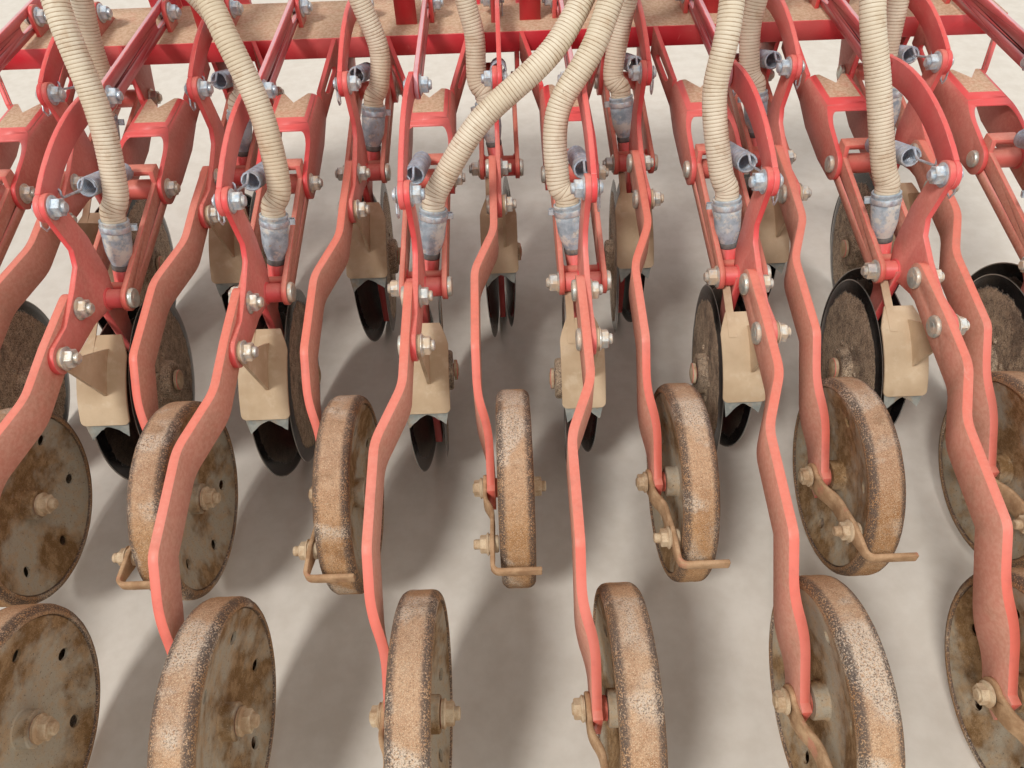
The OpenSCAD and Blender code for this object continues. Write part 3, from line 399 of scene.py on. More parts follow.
def guard():
    """Dusty beige plastic."""
    m = Nodes("guard_plastic")
    big, mid, fine, grain = m.noise(8, 4, 0.6), m.noise(48, 5, 0.6), m.noise(260, 4, 0.7), m.noise(900, 2)
    color = m.mix(m.ramp(big, 0.35, 0.65), srgb(204, 182, 152), srgb(182, 158, 128))
    color = m.mix(m.ramp(mid, 0.5, 0.75, 0, 0.4), color, srgb(220, 204, 178))
    color = m.mix(m.ramp(m.noise(24, 5, 0.7), 0.6, 0.74, 0, 0.4), color, srgb(162, 134, 106))
    color = m.mix(m.ramp(grain, 0.6, 0.76, 0, 0.35), color, srgb(150, 124, 98))
    m.bump(mid, 0.2, 0.001)
    m.bump(fine, 0.3, 0.0004)
    return m.finish(color, 0.82, 0.0, 0.3)


def bare_steel():
    """Dull grey steel with patches of soil."""
    m = Nodes("scraper_steel")
    mid, fine = m.noise(60, 5, 0.65), m.noise(500, 3)
    color = m.mix(m.ramp(mid, 0.35, 0.65), srgb(142, 148, 144), srgb(172, 174, 166))
    color = m.mix(m.ramp(m.noise(26, 5, 0.7), 0.5, 0.68, 0, 0.75), color, srgb(162, 138, 110))
    m.bump(mid, 0.3, 0.001)
    m.bump(fine, 0.3, 0.0004)
    return m.finish(color, 0.58, 0.35)


def soil_bar(name, pale, dark, rest):
    """Steel under caked, dried soil, with a little of what is below it showing."""
    m = Nodes(name)
    mid, fine, grain = m.noise(45, 5, 0.65), m.noise(240, 4, 0.7), m.noise(900, 2)
    color = m.mix(m.ramp(mid, 0.35, 0.65), pale, dark)
    color = m.mix(m.ramp(m.noise(22, 5, 0.7), 0.58, 0.7, 0, 0.6), color, rest)
    color = m.mix(m.ramp(grain, 0.56, 0.72, 0, 0.5), color, DUST_DARK)
    m.bump(mid, 0.4, 0.0014)
    m.bump(fine, 0.5, 0.0008)
    m.bump(grain, 0.3, 0.0003)
    return m.finish(color, 0.88, 0.0, 0.2)


WELD = worn_edge_and_highlight("weld", srgb(214, 96, 92), srgb(176, 84, 78))
ZINC = zinc("zinc", srgb(214, 212, 204), srgb(180, 182, 180), srgb(206, 186, 154), 0.85)
BRIGHT = zinc("bright_zinc", srgb(212, 224, 232), srgb(170, 184, 196), srgb(190, 176, 152), 0.5)
HEAD = zinc("bolt_head", srgb(206, 212, 204), srgb(184, 190, 182), DUST, 0.7)
WIRE = zinc("spring_wire", srgb(194, 206, 220), srgb(160, 172, 186), srgb(178, 166, 150), 0.35)
HOSE, GROOVE, BOOT, BOOT_FOOT, TYRE, RIM = hose(), hose_groove(), boot(), boot_foot(), tyre(), rim()
DISC, GUARD, SCRAPER = disc_steel(), guard(), bare_steel()
SOILED = soil_bar("soiled_bar", srgb(204, 170, 134), srgb(172, 136, 102), srgb(206, 132, 112))
CAKED = soil_bar("caked_nut", srgb(214, 194, 164), srgb(180, 150, 118), srgb(150, 138, 126))


# Mesh helpers, in mm
class Mesh:
    """Gathers vertices and faces, in mm, of one piece."""

    def __init__(self):
        self.v, self.f, self.m, self.mats = [], [], [], []

    def slot(self, mat):
        """Index of the material among this piece's own."""
        if mat not in self.mats:
            self.mats.append(mat)
        return self.mats.index(mat)

    def add(self, verts, faces, mat, at=None):
        n = len(self.v)
        self.v += [at @ Vector(p) if at else Vector(p) for p in verts]
        self.f += [[n + i for i in f] for f in faces]
        self.m += [self.slot(mat)] * len(faces)

    def lathe(self, profile, mat, at=None, sides=32, closed=False):
        """Revolves (radius, height) pairs round Z. A closed profile also joins its last pair to its first."""
        rings = len(profile)
        verts = [(x, y, h) for r, h in profile for x, y in circle(r, sides)]
        faces = []
        for i in range(rings if closed else rings - 1):
            a, b = i * sides, (i + 1) % rings * sides
            faces += [[a + k, a + (k + 1) % sides, b + (k + 1) % sides, b + k] for k in range(sides)]
        if not closed and profile[0][0] > 0:
            faces.append(list(reversed(range(sides))))
        if not closed and profile[-1][0] > 0:
            faces.append([(rings - 1) * sides + k for k in range(sides)])
        self.add(verts, faces, mat, at)

    def prism(self, outline, h0, h1, mat, at=None, chamfer=0.0):
        """Outline (counter-clockwise x, y) drawn out from h0 to h1, with a chamfer on the top edge."""
        n = len(outline)
        levels = [(outline, h0), (outline, h1 - chamfer)]
        if chamfer:
            cx = sum(p[0] for p in outline) / n
            cy = sum(p[1] for p in outline) / n
            size = max(math.hypot(p[0] - cx, p[1] - cy) for p in outline)
            k = 1 - chamfer / size
            levels.append(([(cx + (p[0] - cx) * k, cy + (p[1] - cy) * k) for p in outline], h1))
        verts = [(p[0], p[1], h) for o, h in levels for p in o]
        faces = [
            [i * n + k, i * n + (k + 1) % n, (i + 1) * n + (k + 1) % n, (i + 1) * n + k]
            for i in range(len(levels) - 1) for k in range(n)
        ]
        faces.append(list(reversed(range(n))))
        faces.append([(len(levels) - 1) * n + k for k in range(n)])
        self.add(verts, faces, mat, at)

    def sweep(self, path, section, mat, at=None):
        """Sweeps a closed section (u, v) along the path without twist.

        section and mat may be functions of the ring's index.
        """
        n = len(path)
        tangents = [
            (path[min(i + 1, n - 1)] - path[max(i - 1, 0)]).normalized() for i in range(n)
        ]
        u = tangents[0].orthogonal()
        u = (u - u.dot(tangents[0]) * tangents[0]).normalized()
        verts, sides = [], 0
        for i, (p, t) in enumerate(zip(path, tangents)):
            u = (u - u.dot(t) * t).normalized()
            w = t.cross(u)
            sec = section(i) if callable(section) else section
            sides = len(sec)
            verts += [p + a * u + b * w for a, b in sec]
        base = len(self.v)
        self.v += [at @ q if at else q for q in verts]
        for i in range(n - 1):
            m = self.slot(mat(i) if callable(mat) else mat)
            for k in range(sides):
                a, b = base + i * sides, base + (i + 1) * sides
                self.f.append([a + k, a + (k + 1) % sides, b + (k + 1) % sides, b + k])
                self.m.append(m)
        for start, flip in ((base, True), (base + (n - 1) * sides, False)):
            face = [start + k for k in range(sides)]
            self.f.append(face[::-1] if flip else face)
            self.m.append(self.slot(mat(0) if callable(mat) else mat))

    def data(self, name, smooth=35):
        """The finished mesh, smooth up to that many degrees, or flat at 0."""
        me = bpy.data.meshes.new(name)
        me.from_pydata([p * MM for p in self.v], [], self.f)
        for mat in self.mats:
            me.materials.append(mat)
        me.polygons.foreach_set("material_index", self.m)
        bm = bmesh.new()
        bm.from_mesh(me)
        bmesh.ops.recalc_face_normals(bm, faces=bm.faces)
        bm.to_mesh(me)
        bm.free()
        me.shade_smooth() if smooth else me.shade_flat()
        if smooth:
            me.set_sharp_from_angle(angle=math.radians(smooth))
        return me


def tube_faces(rings, sides):
    """Faces of a closed tube whose rings follow each other, with its two ends."""
    faces = [
        [i * sides + k, i * sides + (k + 1) % sides, (i + 1) * sides + (k + 1) % sides, (i + 1) * sides + k]
        for i in range(rings - 1) for k in range(sides)
    ]
    return faces + [list(range(sides)), [(rings - 1) * sides + k for k in range(sides)]]


def circle(r, n):
    """n points (x, y) on a circle."""
    return [(r * math.cos(2 * math.pi * k / n), r * math.sin(2 * math.pi * k / n)) for k in range(n)]


def piece(name, data, matrix, body, replaced):
    """Shows a mesh in the scene, riding its body and standing for the replaced CAD nodes."""
    o = bpy.data.objects.new(name, data)
    bpy.context.scene.collection.objects.link(o)
    o.matrix_world = matrix
    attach(o, body)
    if replaced:
        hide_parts(*replaced)


ALONG_X = Matrix.Rotation(math.radians(90), 4, "Y")


def facing(x, y, z, s):
    """Matrix whose +Z points along s times X, at the point."""
    return Matrix.Translation((x, y, z)) @ (ALONG_X if s > 0 else ALONG_X @ Matrix.Rotation(math.pi, 4, "X"))


# Bolts of a row as (y, z) in mm: A and B of the opener frame, T and P of the curved link, C and D of the wheel arm,
# LINK of the slotted link on its lug
A, B, T, P = (832, 377), (593, 334), (580, 514), (854, 537)
C, D = (431, 365), (519, 380)
LINK = (P[0] + 327, P[1])
SCRAPER_BOLT = (-120, 188)
# The round bar between the straps
CROSS_BAR = (B[0] + 31, B[1] - 3)
# Plate thickness, clearance, bolt diameter, nut width across its flats
PLATE, GAP, BOLT, NUT = 8, 0.3, 16, 24
HALF = PLATE / 2
# Middles across the row
PLATE_X, ARM_X, STRAPS = -10, -20, (-41, 25)
EARS = (-49.3, 33.3)
YOKE_X = -8
ARM_LEFT = ARM_X - 6
# Faces that carry the soiled nuts: of the scraper, of the wheel's hub, of the axle's outer end
SCRAPER_LEFT, SCRAPER_RIGHT = -38.2, -31.8
HUB_RIGHT, AXLE_LEFT = 22.9, -50.2
ALPHA, PHI = math.radians(4.3), math.radians(35)
DISC_X, DISC_Y, DISC_Z, DISC_OFFSET = -14, 597, 122, 17.197
DISC_STAGGER, DISC_T = 15, 3.5
RIB_X = -3.2
RIB_RIGHT = RIB_X + 2.5
AXLE_Z = 150


def disc_matrix(s):
    """Disc frame of side s, with Z out of the row along the disc's axle."""
    return (
        Matrix.Translation((DISC_X + s * DISC_OFFSET, DISC_Y + s * DISC_STAGGER, DISC_Z))
        @ Matrix.Rotation(-PHI, 4, "X")
        @ Matrix.Rotation(s * ALPHA, 4, "Z")
        @ Matrix.Rotation(s * math.pi / 2, 4, "Y")
    )


# Hoses: the spigot's x and 1 for the rail's upper row, then points (x, y, z) on the way up
HOSES = {
    "r1": [(-800, 1), (-848, 695, 475), (-838, 735, 565), (-826, 790, 690), (-810, 900, 810)],
    "r2": [(-640, 1), (-598, 692, 468), (-595, 735, 570), (-618, 795, 705), (-636, 900, 812)],
    "r3": [(-470, 1), (-347, 692, 468), (-358, 736, 568), (-396, 784, 675), (-455, 890, 800)],
    "r4": [(150, 0), (-98, 688, 460), (-32, 724, 543), (87, 780, 632), (160, 900, 735)],
    "r5": [(205, 1), (82, 688, 460), (84, 729, 552), (144, 775, 643), (203, 890, 790)],
    "r6": [(345, 1), (332, 690, 468), (316, 735, 565), (330, 775, 660), (344, 890, 800)],
    "r7": [(555, 1), (582, 690, 468), (557, 735, 570), (532, 785, 675), (550, 895, 805)],
    "r8": [(800, 1), (831, 692, 470), (815, 735, 570), (806, 790, 690), (802, 900, 810)],
    "f1": [(-700, 0), (-722, 1022, 460), (-724, 1045, 540), (-714, 1062, 625), (-703, 1080, 715)],
    "f2": [(-590, 0), (-471, 1022, 460), (-474, 1034, 530), (-502, 1036, 605), (-560, 1058, 670)],
    "f3": [(-260, 0), (-223, 1022, 460), (-217, 1040, 520), (-243, 1056, 610), (-260, 1078, 705)],
    "f4": [(-65, 0), (-44, 1022, 460), (-44, 1044, 530), (-58, 1060, 600), (-65, 1080, 710)],
    "f5": [(260, 0), (206, 1022, 460), (216, 1044, 530), (230, 1054, 600), (256, 1070, 680)],
    "f6": [(460, 0), (457, 1022, 460), (450, 1044, 530), (458, 1060, 600), (460, 1080, 710)],
    "f7": [(700, 0), (706, 1022, 460), (704, 1044, 540), (702, 1062, 625), (700, 1080, 715)],
}
BOOT_LEAN, BOOT_TILT, BOOT_LENGTH, BOOT_COLLAR = math.radians(16), math.radians(8), 59, 24
RAIL_Y, RAIL_Z, RAIL_ROWS = 1119.7, 760, 90
CURVE_STEPS = 24


def boot_matrix(row):
    """Boot frame in the row's place, with Z up the boot."""
    return (
        Matrix.Translation((YOKE_X + hand(row) * 9, B[0] + 59, B[1] + 12))
        @ Matrix.Rotation(-BOOT_LEAN, 4, "X")
        @ Matrix.Rotation(hand(row) * BOOT_TILT, 4, "Y")
    )


def hose_path(row):
    """Smooth curve through the hose's points, from the boot's collar to the spigot."""
    (sx, upper), points = HOSES[row][0], HOSES[row][1:]
    bm = Matrix.Translation((ROWS[row][0], ROWS[row][1] - REAR_Y, 0)) @ boot_matrix(row)
    a = bm @ Vector((0, 0, BOOT_LENGTH + GAP))
    b, c = (a + (bm.to_3x3() @ Vector((0, 0, d))) for d in (BOOT_COLLAR, BOOT_COLLAR + 14))
    e = Vector((sx, RAIL_Y, RAIL_Z + upper * RAIL_ROWS))
    p = [a, b, c] + [Vector(q) for q in points] + [e - Vector((0, 45, 0)), e]
    q = [2 * p[0] - p[1]] + p + [2 * p[-1] - p[-2]]
    out = []
    for i in range(1, len(p)):
        p0, p1, p2, p3 = q[i - 1], q[i], q[i + 1], q[i + 2]
        for k in range(CURVE_STEPS):
            t = k / CURVE_STEPS
            out.append(0.5 * (2 * p1 + (p2 - p0) * t + (2 * p0 - 5 * p1 + 4 * p2 - p3) * t * t
                              + (3 * p1 - p0 - 3 * p2 + p3) * t ** 3))
    out.append(p[-1])
    return out


def even(path, step):
    """Resamples a path at equal steps."""
    out, left = [path[0]], step
    for a, b in zip(path, path[1:]):
        d = (b - a).length
        while d >= left:
            a = a + (b - a) * (left / d)
            d = (b - a).length
            out.append(a)
            left = step
        left -= d
    out.append(path[-1])
    return out


# Pitch of the hose's rings, and (share of the pitch, radius) pairs of one ring, groove first
RIB = 5.4
RIB_PROFILE = [(0.0, 17.95), (0.2, 18.25), (0.56, 18.5), (0.86, 18.15)]
RIB_SHARES = 24


def make_hose(row):
    """Ribbed hose with whole rings from end to end."""
    line = hose_path(row)
    total = sum((b - a).length for a, b in zip(line, line[1:]))
    count = round(total / RIB)
    fine = even(line, total / count / RIB_SHARES)
    path, radii = [], []
    for i in range(count):
        for share, r in RIB_PROFILE:
            path.append(fine[min(round((i + share) * RIB_SHARES), len(fine) - 1)])
            radii.append(r)
    path.append(fine[-1])
    radii.append(RIB_PROFILE[0][1])
    m = Mesh()
    bands = len(RIB_PROFILE)
    m.sweep(path, lambda i: circle(radii[i], 14), lambda i: GROOVE if i % bands == 0 else HOSE)
    piece("seed_hose_" + row, m.data("seed_hose_" + row, 50),
          Matrix.Translation(Vector((0, REAR_Y, GROUND)) * MM), ROOT, ("seed_hoses",))


def make_boot(row):
    """Rubber boot with a worn lip, a clamp with its ear, and a foot ring."""
    m = Mesh()
    at = boot_matrix(row)
    top = BOOT_LENGTH + BOOT_COLLAR
    body = [
        (12.5, 3), (13.8, 9.5), (17.6, 22), (20.2, 34), (21.0, 46), (21.4, BOOT_LENGTH - 2), (22.0, BOOT_LENGTH + 3),
        (21.3, BOOT_LENGTH + 5), (21.3, top - 5), (22.0, top - 4), (22.0, top - 1), (21.0, top), (18.8, top),
        (18.8, BOOT_LENGTH), (9.5, 5),
    ]
    m.lathe(body, BOOT, at, 32, closed=True)
    foot = [(9.4, -11), (12.5, -11), (12.5, 0), (14.6, 1.2), (15.0, 4), (15.0, 7.5), (14.2, 9.4), (12.4, 9.6), (9.4, 6)]
    m.lathe(foot, BOOT_FOOT, at, 32, closed=True)
    clamp = at @ Matrix.Rotation(math.radians(20 if hand(row) > 0 else 160), 4, "Z")
    z0, z1 = top - 17, top - 8
    band = [(21.4, z0), (22.6, z0), (22.9, z0 + 1), (22.9, z1 - 1), (22.6, z1), (21.4, z1)]
    m.lathe(band, BRIGHT, clamp, 36, closed=True)
    for x in (22.2, 30.5):
        m.prism([(x, -4.5), (x + 1.3, -4.5), (x + 1.3, 4.5), (x, 4.5)], z0, z1, BRIGHT, clamp, 0.3)
    for y in (-4.5, 3.2):
        m.prism([(22.2, y), (31.8, y), (31.8, y + 1.3), (22.2, y + 1.3)], z0, z1, BRIGHT, clamp, 0.3)
    piece("hose_boot_" + row, m.data("hose_boot_" + row), place(row), ROOT, ("hose_boots",))


# Springs: place of the coil's ends in the row, wire, coil radius, points a turn, pitch
SPRING_REAR, SPRING_FRONT = (685, 477.2), (811.1, 427)
WIRE_D, COIL_R, COIL_STEPS, COIL_PITCH = 3.9, 13.9, 14, 4.8
HOOK_REACH = 66


def make_spring(row):
    """Close-wound tension spring, a long hook to the upper link and a short one to the strap's tab."""
    s = hand(row)
    x = YOKE_X - 4 * s
    rear, front = Vector((x, *SPRING_REAR)), Vector((x, *SPRING_FRONT))
    axis = (front - rear).normalized()
    length = (front - rear).length
    side = Vector((1, 0, 0))
    lift = axis.cross(side).normalized()
    if lift.z < 0:
        lift = -lift
    r, steps = COIL_R, COIL_STEPS
    turns = int(length / COIL_PITCH)
    path = []
    for i in range(turns * steps + 1):
        a = 2 * math.pi * i / steps
        at = rear + axis * (COIL_PITCH / 2 + (length - COIL_PITCH) * i / (turns * steps))
        path.append(at + (side * math.cos(a) + lift * math.sin(a)) * r)
    m = Mesh()
    m.sweep(path, circle(WIRE_D / 2, 6), WIRE)
    # long hook: from the last turn to the middle, out, up and sideways into the link
    end = rear - axis * HOOK_REACH
    turn_in = Vector((-5.5 * s, 0, 0))
    hook = [
        rear + lift * r + axis * 2.5, rear + lift * (r - 2) - axis * 3, rear + lift * 6 - axis * 9, rear - axis * 16,
        rear - axis * 40, end, end - axis * 4 + lift * 2, end - axis * 5.5 + lift * 6, end - axis * 5 + lift * 10,
        end - axis * 4 + lift * 12 + turn_in * 0.4, end - axis * 4 + lift * 12.5 + turn_in,
    ]
    m.sweep(hook, circle(WIRE_D / 2, 8), WIRE)
    # short hook: from the first turn through the tab
    hook = [
        front + lift * r - axis * 2.5, front + lift * (r - 4) + axis * 3, front + lift * 3 + axis * 7,
        front + axis * 10, front + axis * 12.5 - lift * 2,
    ]
    m.sweep(hook, circle(WIRE_D / 2, 8), WIRE)
    piece("spring_" + row, m.data("spring_" + row, 60), place(row), ROOT, ("springs",))


# Bolts, pins and clips
def flange_nut(m, at, af, h, mat, bolt_r, stick=6):
    """Hex nut with its flange, and the bolt's end standing out."""
    r = af / math.sqrt(3)
    m.lathe([(0.1, 0), (r + 3.2, 0), (r + 3.4, 1.2), (r + 1.0, 3.0), (0.1, 3.0)], mat, at, 28)
    m.prism(circle(r, 6), 2.5, h, mat, at, 1.4)
    shank, end = bolt_r * 0.98, h + stick
    m.lathe([(0.1, h - 2), (shank, h - 2), (shank, end - 1.4), (bolt_r * 0.8, end), (0.1, end)], mat, at, 18)
    for k in range(3):
        z = h + 0.6 + k * 1.7
        if z < end - 2:
            m.lathe([(bolt_r * 0.9, z), (bolt_r * 1.05, z + 0.5), (bolt_r * 0.9, z + 1.0)], mat, at, 18)


def flat_head(m, at, r, h, mat):
    """Round flat head with a shallow mark in its middle."""
    dome = [(0.1, 0), (r, 0), (r + 0.3, h * 0.25), (r, h * 0.6), (r - 1.2, h * 0.92), (r - 3, h), (0.1, h)]
    m.lathe(dome, mat, at, 32)
    m.lathe([(0.1, h - 0.4), (r * 0.5, h - 0.4), (r * 0.46, h + 0.35), (0.1, h + 0.35)], mat, at, 24)


def clip(m, at, mat):
    """Spring clip of bent wire, through the pin's end and hanging down beside the plate."""
    r, start, arc, steps, wire_r = 9.5, -70, 320, 16, 1.6
    turns = [math.radians(start + arc * k / steps) for k in range(steps, -1, -1)]
    bend = [(r * math.cos(a), r * math.sin(a)) for a in turns]
    tail = [(12, -22), (6, -34), (-4, -36), (-9, -26), (-6, -10)]
    m.sweep([Vector((x, y, 2)) for x, y in bend + tail], circle(wire_r, 7), mat, at)


def shank(m, y, z, x0, x1):
    """Bolt's shank through the plates, a little longer than they are."""
    m.lathe([(0.1, x0 - 2), (BOLT / 2, x0 - 2), (BOLT / 2, x1 + 2), (0.1, x1 + 2)], BRIGHT,
            Matrix.Translation((0, y, z)) @ ALONG_X, 20)


def make_fasteners(row):
    """Bolts of one row unit with their heads, nuts and clips."""
    s = hand(row)
    m = Mesh()
    link = PLATE_X - s * (PLATE + GAP)
    lo, hi = min(link, PLATE_X) - HALF, max(link, PLATE_X) + HALF
    ears, straps = (EARS[0] - HALF, EARS[1] + HALF), (STRAPS[0] - HALF, STRAPS[1] + HALF)
    arm = {C: RIB_RIGHT, D: PLATE_X + HALF}
    for bolt, x0, x1 in (
        (A, *ears), (B, *straps), (T, lo, hi), (P, lo, hi), (C, ARM_LEFT, arm[C]), (D, ARM_LEFT, arm[D]),
    ):
        shank(m, *bolt, x0, x1)
    # A: flat head on the left, nut on the right. B: the other way round
    flat_head(m, facing(ears[0] - GAP, *A, -1), 14.5, 7, HEAD)
    flange_nut(m, facing(ears[1] + GAP, *A, 1), NUT, 14, ZINC, 8, 5)
    flange_nut(m, facing(straps[0] - GAP, *B, -1), NUT, 15, ZINC, 8, 5)
    flat_head(m, facing(straps[1] + GAP, *B, 1), 16, 7, HEAD)
    # T and P: nut on the inner side, clip on the outer one
    for pin in (T, P):
        x_nut, x_clip = (hi, lo) if s > 0 else (lo, hi)
        flange_nut(m, facing(x_nut + s * GAP, *pin, s), NUT, 14, BRIGHT, 8, 5)
        at = facing(x_clip - s * GAP, *pin, -s)
        m.lathe([(0.1, 0), (13, 0), (13.3, 1), (12.6, 2), (0.1, 2)], BRIGHT, at, 28)
        m.lathe([(0.1, 1), (7.8, 1), (7.8, 8), (6.6, 9.4), (0.1, 9.4)], BRIGHT, at, 20)
        clip(m, at @ Matrix.Translation((0, 0, 3)) @ Matrix.Rotation(math.radians(90), 4, "Z"), BRIGHT)
    # C and D: heads on the arm, nuts on the plate
    for bolt, x1 in arm.items():
        flat_head(m, facing(ARM_LEFT - GAP, *bolt, -1), 16, 6, HEAD)
        flange_nut(m, facing(x1 + GAP, *bolt, 1), NUT, 13, ZINC, 8, 6)
    if row[0] == "r":
        inner, outer = HALF, HALF * 3 + GAP
        x0 = PLATE_X - (inner if s > 0 else outer)
        x1 = PLATE_X + (outer if s > 0 else inner)
        shank(m, *LINK, x0, x1)
        flat_head(m, facing(x0 - GAP if s > 0 else x1 + GAP, *LINK, -s), 14.5, 7, HEAD)
        flange_nut(m, facing(x1 + GAP if s > 0 else x0 - GAP, *LINK, s), NUT, 14, BRIGHT, 8, 5)
    # the scraper's own clamp bolt, under soil
    at = facing(SCRAPER_LEFT, *SCRAPER_BOLT, -1)
    m.lathe([(0.1, 0), (14, 0), (14.2, 1.2), (13.6, 2.4), (0.1, 2.4)], CAKED, at, 24)
    flange_nut(m, at @ Matrix.Translation((0, 0, 2)), 22, 12, CAKED, 7, 9)
    m.lathe([(0.1, 0), (12, 0), (12.4, 3), (11, 5.5), (0.1, 6)], CAKED, facing(SCRAPER_RIGHT, *SCRAPER_BOLT, 1), 24)
    piece("fasteners_" + row, m.data("fasteners_" + row, 40), place(row), ROOT, ("pivot_bolts",))


def bead(m, x, y, z, r):
    """Weld bead round a boss, in the plane across X."""
    rng = random.Random(int(x * 10 + y))
    n = 28
    ring = [Vector((x, y + dy, z + dz)) for dy, dz in circle(r + 0.6, n)]
    sizes = [2.0 + 0.7 * (k % 2) + 0.4 * rng.random() for k in range(n)]
    m.sweep(ring + ring[:1], lambda i: circle(sizes[i % n], 6), WELD)


def make_axle_ends(row):
    """Soiled nuts and washers on the press wheel's axle, caps on the disc axles, and weld beads."""
    m = Mesh()
    at = facing(HUB_RIGHT, 0, AXLE_Z, 1)
    m.lathe([(8.2, 0.4), (17.2, 0.4), (17.6, 1.6), (17.2, 3.4), (8.2, 3.4)], CAKED, at, 32, closed=True)
    flange_nut(m, at @ Matrix.Translation((0, 0, 3.2)), 25.6, 13.2, CAKED, 8.3, 7)
    at = facing(AXLE_LEFT, 0, AXLE_Z, -1)
    m.lathe([(8.2, 0), (15.3, 0), (15.6, 1.2), (15.2, 2.3), (8.2, 2.3)], CAKED, at, 28, closed=True)
    flange_nut(m, at @ Matrix.Translation((0, 0, 2)), 22.4, 11.5, CAKED, 8, 2)
    cap = [
        (0.1, 18.7), (18.2, 18.7), (18.4, 20), (18.3, 23.4), (17, 25), (12, 25.3), (10.4, 26.8), (7, 27.4), (0.1, 27.6),
    ]
    for s in (-1, 1):
        m.lathe(cap, CAKED, disc_matrix(s), 32)
    for x in (PLATE_X - HALF, PLATE_X + HALF):
        bead(m, x, *B, 15)
    inner = (STRAPS[0] + HALF, STRAPS[1] - HALF)
    for x in inner:
        bead(m, x, *A, 17)
    for x in inner:
        bead(m, x, *CROSS_BAR, 8.5)
    piece("axle_ends_" + row, m.data("axle_ends_" + row, 40), place(row), ROOT, ())


# Press wheels
def cut_holes(data, radius, hole_r, count, turn, depth):
    """Cuts round holes along Z through the mesh, once, and gives back the finished mesh."""
    tools = Mesh()
    pin = [(0, -depth), (hole_r, -depth), (hole_r, depth), (0, depth)]
    for k in range(count):
        at = Matrix.Rotation(turn + 2 * math.pi * k / count, 4, "Z") @ Matrix.Translation((radius, 0, 0))
        tools.lathe(pin, RIM, at, 20)
    body, tool = (bpy.data.objects.new(n, d) for n, d in (("body", data), ("tool", tools.data("tool", 0))))
    for o in (body, tool):
        bpy.context.scene.collection.objects.link(o)
    cutter = body.modifiers.new("holes", "BOOLEAN")
    cutter.operation = "DIFFERENCE"
    cutter.solver = "EXACT"
    cutter.object = tool
    done = bpy.data.meshes.new_from_object(body.evaluated_get(bpy.context.evaluated_depsgraph_get()))
    for o in (body, tool):
        bpy.data.objects.remove(o)
    done.set_sharp_from_angle(angle=math.radians(35))
    return done


TYRE_R, SHOULDER_R, SEAT_R = 150, 12, 136
BOWL_FROM, BOWL_WIDE, BOWL_DEEP, SHEET = 42, 86, 17, 4


def tyre_data():
    """Tyre with round shoulders, round X with its middle at 0, its tread a little uneven."""
    m = Mesh()
    prof = [(SEAT_R, -20), (SEAT_R + 0.3, -24.3), (SEAT_R + 1.6, -25)]
    for k in range(1, 7):
        a = math.radians(k * 15)
        prof.append((TYRE_R - SHOULDER_R + SHOULDER_R * math.sin(a), -13 - SHOULDER_R * math.cos(a)))
    prof += [(TYRE_R, -8), (TYRE_R, -3)]
    prof += [(r, -h) for r, h in reversed(prof)]
    m.lathe(prof, TYRE, ALONG_X, 96, closed=True)
    rng = random.Random(7)
    for i, v in enumerate(m.v):
        if math.hypot(v.y, v.z) > SEAT_R + 1:
            k = 1 - 0.004 * rng.random()
            m.v[i] = Vector((v.x, v.y * k, v.z * k))
    return m.data("tyre", 50)


def face_data():
    """The two pressed bowls of a wheel with their six holes, and the hub's tube, round X."""
    outer, inner = [], []
    for k in range(1, 9):
        t = k / 8
        r, dish = BOWL_FROM + BOWL_WIDE * t, BOWL_DEEP * t ** 1.5
        outer.append((r, -SHEET - dish))
        inner.append((r, -dish))
    left = [(8.05, -22), (21.4, -22), (23, -20.4), (23, -6), (24.6, -4.3), (BOWL_FROM, -SHEET)] + outer
    left += [(131, -21.3), (134.6, -21.8), (135.9, -21.0), (135.9, -17)] + inner[::-1]
    bowls = Mesh()
    bowls.lathe(left + [(BOWL_FROM, 0)] + [(r, -h) for r, h in reversed(left)], RIM, None, 72, closed=True)
    face = cut_holes(bowls.data("wheel_face", 35), 100, 8.5, 6, math.radians(15), 30)
    face.transform(ALONG_X)
    return face


TYRE_DATA, FACE_DATA = tyre_data(), face_data()


# A full turn, in radians
TURN = 6.28


def turned(data, angle, axis):
    """A copy of a mesh turned round its own axis, so that like wheels differ."""
    copy = data.copy()
    copy.transform(Matrix.Rotation(angle, 4, axis))
    return copy


def make_wheel(row):
    """Tyre and bowls of one press wheel, each wheel at its own turn."""
    x, y = ROWS[row]
    at = Matrix.Translation(Vector((x, y, AXLE_Z + GROUND)) * MM)
    angle = random.Random(row).random() * TURN
    node = "press_wheel_" + row
    piece("tyre_" + row, turned(TYRE_DATA, angle, "X"), at, node, (node,))
    piece("wheel_face_" + row, turned(FACE_DATA, angle, "X"), at, node, (node,))


# Discs
def disc_data():
    """Blade with a bevelled edge, and the hub with its rivets."""
    m = Mesh()
    t = DISC_T / 2
    blade = [
        (12.05, -t), (60, -t), (110, -t), (150, -t), (155.4, -1.6), (156, -1.2), (148, 0.4), (142, t), (110, t), (70, t),
    ]
    hub = [(38, t), (37, 2.2), (36, 4), (36, 13), (34.5, 15.8), (31, 17.6), (24, 17.75), (22, 16.4), (12.05, 16.4)]
    m.lathe(blade + hub, DISC, None, 72, closed=True)
    rivet = [(0.1, 0), (5.2, 0), (5.0, 1.6), (3.6, 2.9), (0.1, 3.3)]
    for k in range(6):
        turn = Matrix.Rotation(math.radians(60 * k + 20), 4, "Z")
        m.lathe(rivet, DISC, turn @ Matrix.Translation((46, 0, 1.6)), 12)
    return m.data("opener_disc", 40)


DISC_DATA = disc_data()


def make_discs(row):
    """The two discs of a row. The turn by PHI levels the object's axes and leaves the disc where it is."""
    for side, s in (("left", -1), ("right", 1)):
        node = "disc_%s_%s" % (side, row)
        m = disc_matrix(s)
        m.translation = m.translation * MM
        level = Matrix.Rotation(s * PHI, 4, "Z")
        data = turned(DISC_DATA, random.Random(node).random() * TURN, "Z")
        piece("opener_" + node, data, place(row) @ m @ level, node, (node,))


